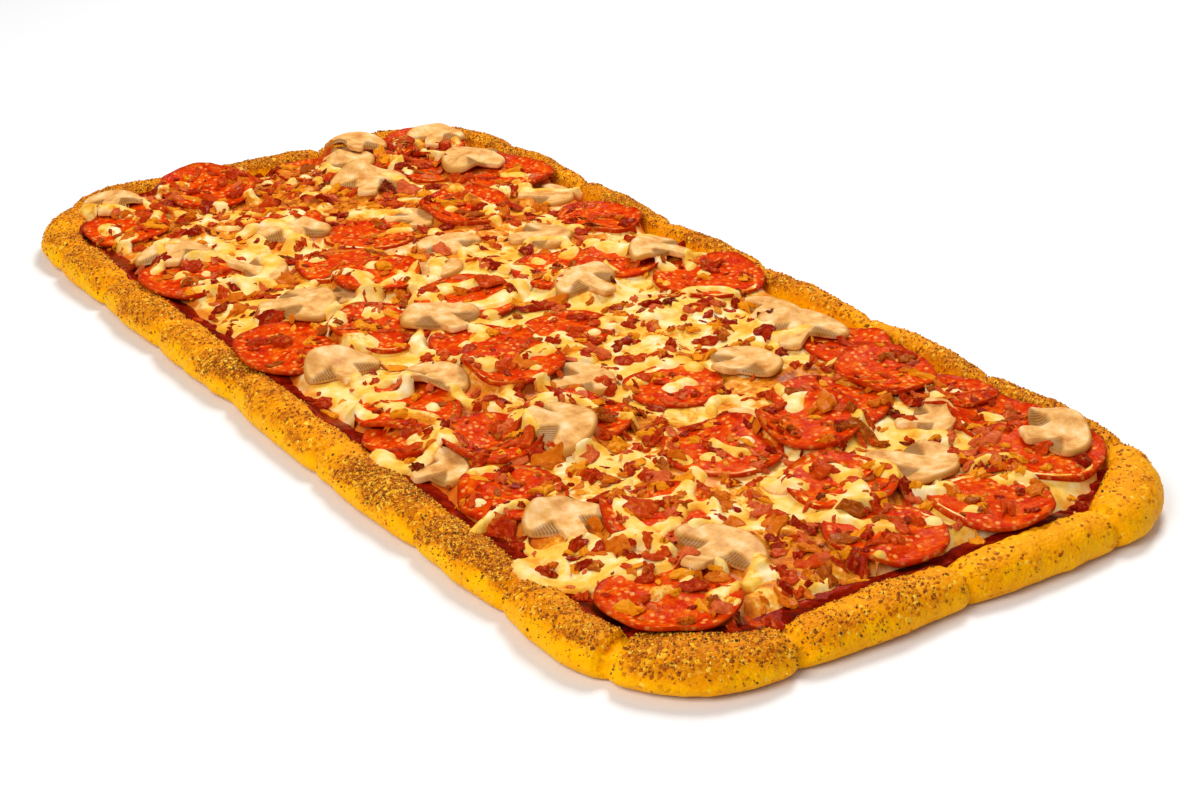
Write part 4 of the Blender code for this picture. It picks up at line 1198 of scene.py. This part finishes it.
over = smooth(THRESHOLD, THRESHOLD + 0.28, field)
dome = np.sqrt(np.clip((field - THRESHOLD) / 0.75, 0.0, 1.2))
soft_top = np.maximum(top, blur(closed(top, BRIDGED), 1.8 * MM))
veil_top = top - BORDER_SINK + over * (soft_top - top + BORDER_SINK) + dome * VEIL_THICKNESS
veil_top += over * 0.25 * MM * rough(map_x, map_y, 4 * MM, 320)
veil_top = np.minimum(blur(veil_top, 0.5 * MM), TOP_LIMIT)
near_field = np.maximum.reduce([field[:-1, :-1], field[1:, :-1], field[1:, 1:], field[:-1, 1:]])
melted = part_pinched(near_field > THRESHOLD - 0.06)
veil_brown = 0.5 * rough(map_x, map_y, 22 * MM, 330) + 0.05
veil_stain = 0.6 * smooth(0.5, 0.0, dome) + 0.3 * rough(map_x, map_y, 18 * MM, 335)
for name, side in (("cheese_patches_low_x", parting < 0), ("cheese_patches_high_x", parting >= 0)):
    points, faces, used = patch_bodies(melted & side[:-1, :-1], veil_top, np.maximum(top - 1.0 * MM, 0.0))
    values = {"brown": np.tile(veil_brown[used], 2), "stain": np.tile(veil_stain[used], 2)}
    add_piece(name, points, faces, cheese_look, values)
    print(name, len(faces), "faces")
top = np.where(field > THRESHOLD, np.maximum(top, veil_top), top)

# %% [markdown]
# ## Chopped bacon
# Bacon and ham chopped to between 3 and 13 mm: deep red lean, pink ham, and crisp brown corners. Every bit
# is a globe squeezed into a block by raising its coordinates to a power below one, then flattened and made
# uneven. The colour belongs to the bit, so it is a colour attribute, and the material adds streaks of fat.

# %% Bits of bacon
BIT_RINGS = 5
# Chopped pieces of the list that the solids use: place and length in millimetres and turn in degrees.
CHOPPED = np.array((
    (440, 95, 16, 20), (521, 106, 14, 60), (72, 114, 13, 120), (392, 206, 13, 40), (338, 197, 15, 150),
    (326, 184, 10, 80), (206, 157, 12, 30), (187, 174, 12, 100), (163, 222, 11, 20), (466, 118, 12, 130),
    (489, 112, 11, 10), (506, 108, 10, 90), (540, 66, 11, 45), (358, 127, 13, 160), (345, 160, 10, 60),
    (323, 134, 13, 30), (215, 160, 10, 140), (110, 207, 11, 70), (156, 224, 9, 110), (104, 160, 11, 0),
    (82, 136, 13, 50), (60, 140, 11, 100), (92, 66, 12, 30), (66, 70, 10, 150), (180, 66, 12, 70),
    (150, 84, 11, 10), (226, 84, 9, 120), (299, 78, 11, 40), (346, 78, 12, 90), (400, 70, 11, 20),
    (404, 120, 12, 140), (474, 206, 11, 60), (505, 200, 9, 110), (386, 216, 10, 20), (312, 214, 12, 80),
    (300, 190, 11, 150), (264, 150, 12, 50), (150, 110, 9, 100), (226, 108, 9, 30), (450, 208, 10, 160),
))
BIT_COLOURS = hues("#8E1400", "#AA2400", "#C43C04", "#D05A2A", "#D06608", "#A04606", "#E88E0E", "#6A1600")


def power(value, shape):
    """A value raised to a power with its sign kept, which squares off a circle."""
    return np.sign(value) * np.abs(value) ** shape


def bits(x, y, length, width, thickness, turn, sectors, seed):
    """Uneven blocks: a globe's rings with squared-off sines and cosines, and each point moved by noise."""
    lift = (math.pi * (np.arange(BIT_RINGS) + 0.5) / BIT_RINGS - math.pi / 2)[None, :, None]
    t = (2 * math.pi * np.arange(sectors) / sectors)[None, None, :]
    x, y, length, width, thickness, turn = (
        value[:, None, None] for value in (x, y, length, width, thickness, turn))
    number = np.arange(len(x))[:, None, None]
    uneven = 1 + 0.38 * bumps(1.9 * t + 7 * number, 2.3 * lift + 0 * t, 1.0, seed)
    uneven = uneven + 0.3 * bumps(4.3 * t + 7 * number, 1.1 * lift + 0 * t, 1.0, seed + 5)
    a = length / 2 * power(np.cos(lift), 0.6) * power(np.cos(t), 0.75) * uneven
    b = width / 2 * power(np.cos(lift), 0.6) * power(np.sin(t), 0.75) * uneven
    grid_x = x + a * np.cos(turn) - b * np.sin(turn)
    grid_y = y + a * np.sin(turn) + b * np.cos(turn)
    dent = 0.4 * bumps(3.1 * t + 5 * number, 3.7 * lift + 0 * t, 1.0, seed + 1)
    curled = 0.5 * thickness * bumps(a / (4 * MM) + 3 * number, b / (4 * MM), 1.0, seed + 2)
    return grid_x, grid_y, thickness * (0.2 + (0.6 + dent) * power(np.sin(lift), 0.8)) + curled


CLUMP = 3
BIT_COUNT = 1000
PINK_HAM = 3
PINK_BITS = 2
HAND_SPREAD = 1.2


def lay_bacon(name, x, y, size, widths, thickness, spread, chances, softness, sectors, seed, pink=0):
    """Lays bits on the toppings. Turn, width, thickness and colour are drawn for each, in that order."""
    count = len(x)
    turn = draw.uniform(0, 2 * math.pi, count)
    grid_x, grid_y, grid_z = bits(x, y, size, size * draw.uniform(*widths, count),
                                  thickness * draw.uniform(*spread, count), turn, sectors, seed)
    grid = np.stack((grid_x, grid_y, laid_on(grid_x, grid_y, grid_z, softness)), -1)
    kinds = draw.choice(len(BIT_COLOURS), count, p=chances)
    kinds[:pink] = PINK_HAM
    tint = BIT_COLOURS[kinds][:, None, None, :] + np.zeros((*grid_x.shape, 4))
    add_bodies(name, grid, bacon_look, {"tint": tint}, soft=False)
    print(name, count)
    return grid


bacon_look, tree, shader, place = finish(
    "chopped_bacon_fried", Roughness=0.4, Specular_IOR_Level=0.04, Specular_Tint=linear("#FFB070"),
    Coat_Weight=0.05, Coat_Roughness=0.12)
colour = attribute(tree, "tint", "Color")
streak = clouds(tree, place, 2.6, 5.0, 0.7)
marbled = blended(tree, ranged(tree, streak, 0.52, 0.72, 0.0, 0.55), colour, "#F09838")
crisp = blended(tree, ranged(tree, streak, 0.42, 0.3, 0.0, 0.6), marbled, "#7A200A")
cover(tree, shader, crisp, streak, 0.6, 0.8)

x, y = topping_places(BIT_COUNT, inset=22 * MM, size=35 * MM, seed=240)
size = np.clip(draw.lognormal(1.78, 0.42, len(x)), 2.5, 11.0) * MM
listed = np.repeat(CHOPPED, CLUMP, axis=0)
turn = np.radians(listed[:, 3])
step = (np.tile(np.arange(CLUMP), len(CHOPPED)) - (CLUMP - 1) / 2) / CLUMP * listed[:, 2]
listed_x = listed[:, 0] + step * np.cos(turn) + draw.normal(0, HAND_SPREAD, len(listed))
listed_y = listed[:, 1] + step * np.sin(turn) + draw.normal(0, HAND_SPREAD, len(listed))
x = np.append(CORNER[0] + listed_x * MM, x)
y = np.append(CORNER[1] + listed_y * MM, y)
size = np.append(listed[:, 2] * draw.uniform(0.45, 0.8, len(listed)) * MM, size)
bit_grid = lay_bacon(
    "bacon_bits", x, y, size, widths=(0.42, 0.8), thickness=0.8 * MM + 0.12 * size, spread=(0.7, 1.3),
    chances=(0.12, 0.18, 0.18, 0.12, 0.16, 0.08, 0.13, 0.03), softness=2.0 * MM, sectors=13, seed=61,
    pink=PINK_BITS)
stamp(top, finer(bit_grid))

# %% Shreds of bacon
SHRED_COUNT = 1300
x, y = topping_places(SHRED_COUNT, inset=23 * MM, size=28 * MM, seed=260)
size = np.clip(draw.lognormal(1.25, 0.4, len(x)), 1.8, 7.5) * MM
lay_bacon("bacon_shreds", x, y, size, widths=(0.3, 0.7), thickness=MM, spread=(0.4, 0.8),
          chances=(0.10, 0.16, 0.18, 0.10, 0.22, 0.07, 0.15, 0.02), softness=1.2 * MM, sectors=8, seed=67)

# %% [markdown]
# ## Crumbs and herbs on the rim
# The rim was brushed with oil and dipped in a mix of cornmeal, dry crumbs and herbs. Most grains are 0.5 to
# 1.3 mm, far too many for more than eight faces each, so each is an octahedron stretched and turned at
# random. They sit on the crust's own grid: a grain takes a random point of the crust and that point's
# outward direction. Chance favours the top of the roll, and a slow noise leaves bald patches.

# %% Octahedron grains
GRAIN_CORNERS = np.array(((1, 0, 0), (0, 1, 0), (-1, 0, 0), (0, -1, 0), (0, 0, -1), (0, 0, 1)), dtype=float)
GRAIN_FACES = np.array((
    (0, 1, 5), (1, 2, 5), (2, 3, 5), (3, 0, 5), (1, 0, 4), (2, 1, 4), (3, 2, 4), (0, 3, 4)))


def grains(name, spots, sizes, flatness, colours, look):
    """Octahedra on given spots: corners stretched by size, turned by random right-angled axes."""
    count = len(spots)
    axes, _ = np.linalg.qr(draw.normal(size=(count, 3, 3)))
    axes *= np.linalg.det(axes)[:, None, None]
    stretch = sizes[:, None] * np.stack((np.ones(count), draw.uniform(0.6, 1.0, count), flatness), -1)
    corners = np.einsum("kc,nc,ncd->nkd", GRAIN_CORNERS, stretch / 2, axes) + spots[:, None]
    faces = (GRAIN_FACES[None] + 6 * np.arange(count)[:, None, None]).reshape(-1, 3).tolist()
    tint = np.repeat(colours, 6, axis=0)
    return add_piece(name, corners.reshape(-1, 3), faces, look, {"tint": tint}, soft=False)


def grain_look(name, roughness):
    """Dry grain: the tint from the mesh, made lighter and darker by a fine noise."""
    made, tree, shader, place = finish(name, Roughness=roughness, Specular_IOR_Level=0.2)
    colour = attribute(tree, "tint", "Color")
    shade = ranged(tree, clouds(tree, place, 0.8, 2.0), 0.0, 1.0, 0.75, 1.2)
    lit = add(tree, "ShaderNodeHueSaturation", {"Color": colour, "Value": shade})
    tree.links.new(lit.outputs["Color"], shader.inputs["Base Color"])
    return made


flat_crust = crust_grid.reshape(-1, 3)
flat_normal = outward.reshape(-1, 3)
flat_heat = heat_share.ravel()
favour = (smooth(-0.35, 0.75, flat_normal[:, 2]) * shown.ravel() * smooth(3 * MM, 9 * MM, flat_crust[:, 2])
          * smooth(-0.7, 0.3, rough(flat_crust[:, 0], flat_crust[:, 1], 30 * MM, 130)))
CRUMB_COLOURS = hues("#F6CC50", "#F6B828", "#EC9E12", "#DC840C", "#C0640C", "#98480C", "#74360C")
CRUMB_CHANCES = (0.09, 0.14, 0.19, 0.21, 0.19, 0.13, 0.05)
CRUMB_COUNT = 24000
CRUMB_LIFT = 0.12 * MM
CRUMB_JITTER = 0.35 * MM
crumb_favour = favour * (0.25 + 1.5 * np.clip(flat_heat, 0.0, 1.0))
picks = draw.choice(len(flat_crust), CRUMB_COUNT, p=crumb_favour / crumb_favour.sum())
jitter = draw.normal(0, CRUMB_JITTER, (CRUMB_COUNT, 3))
spots = flat_crust[picks] + flat_normal[picks] * CRUMB_LIFT + jitter
spots -= flat_normal[picks] * (jitter * flat_normal[picks]).sum(axis=1, keepdims=True)
sizes = np.clip(draw.lognormal(-0.25, 0.35, CRUMB_COUNT), 0.4, 1.7) * MM
grains("cornmeal_crumbs", spots, sizes, draw.uniform(0.5, 0.9, CRUMB_COUNT),
       CRUMB_COLOURS[draw.choice(len(CRUMB_COLOURS), CRUMB_COUNT, p=CRUMB_CHANCES)],
       grain_look("toasted_cornmeal_crumbs", 0.7))
print("crumbs:", CRUMB_COUNT)

# %% Herb flecks
HERB_COUNT = 1300
HERB_LIFT = 0.25 * MM
HERB_COLOURS = hues("#5A4A10", "#6E5C14", "#4A3410", "#7A4410")
herb_favour = favour * (0.35 + np.tile(near_end, SECTION_STEPS))
picks = draw.choice(len(flat_crust), HERB_COUNT, p=herb_favour / herb_favour.sum())
spots = flat_crust[picks] + flat_normal[picks] * HERB_LIFT
grains("herb_flecks", spots, np.clip(draw.lognormal(0.0, 0.3, HERB_COUNT), 0.6, 1.7) * MM,
       np.full(HERB_COUNT, 0.35), HERB_COLOURS[draw.choice(len(HERB_COLOURS), HERB_COUNT)],
       grain_look("dried_herb_flecks", 0.8))
print("herbs:", HERB_COUNT)

# %% [markdown]
# ## Table and light
# The pizza lies on a plain white table. A soft light above and behind it gives the toppings their small
# highlights and throws a short soft shadow to the front. A wider one on the viewer's side lights the near
# wall of the crust. The surround is kept low, because white reflected from all sides would make the reds
# milky.

# %% The table
floor_mesh = bpy.data.meshes.new("table_top")
TABLE_HALF = 4.0
corners = [(x * TABLE_HALF, y * TABLE_HALF, 0.0) for x, y in ((-1, -1), (1, -1), (1, 1), (-1, 1))]
floor_mesh.from_pydata(corners, [], [(0, 1, 2, 3)])
floor = bpy.data.objects.new("table_top", floor_mesh)
bpy.context.scene.collection.objects.link(floor)
floor_mesh.materials.append(finish("white_laminate", Roughness=0.6, Base_Color=linear("#F4F4F4"))[0])

# %% The light
SURROUND = 0.30


def soft_box(name, place, size, power):
    """A square area light that faces the pizza's middle."""
    data = bpy.data.lights.new(name, "AREA")
    data.shape = "SQUARE"
    data.size = size
    data.energy = power
    lamp = bpy.data.objects.new(name, data)
    bpy.context.scene.collection.objects.link(lamp)
    lamp.location = place
    lamp.rotation_euler = (-Vector(place)).to_track_quat("-Z", "Y").to_euler()


soft_box("back_box", place=(-0.45, 0.70, 1.30), size=0.6, power=18.0)
soft_box("front_box", place=(0.55, -1.35, 1.25), size=1.0, power=21.0)
world = bpy.data.worlds.new("surround")
world.use_nodes = True
world.node_tree.nodes["Background"].inputs["Color"].default_value = (1.0, 1.0, 1.0, 1.0)
world.node_tree.nodes["Background"].inputs["Strength"].default_value = SURROUND
bpy.context.scene.world = world
bpy.context.scene.view_settings.view_transform = "Standard"
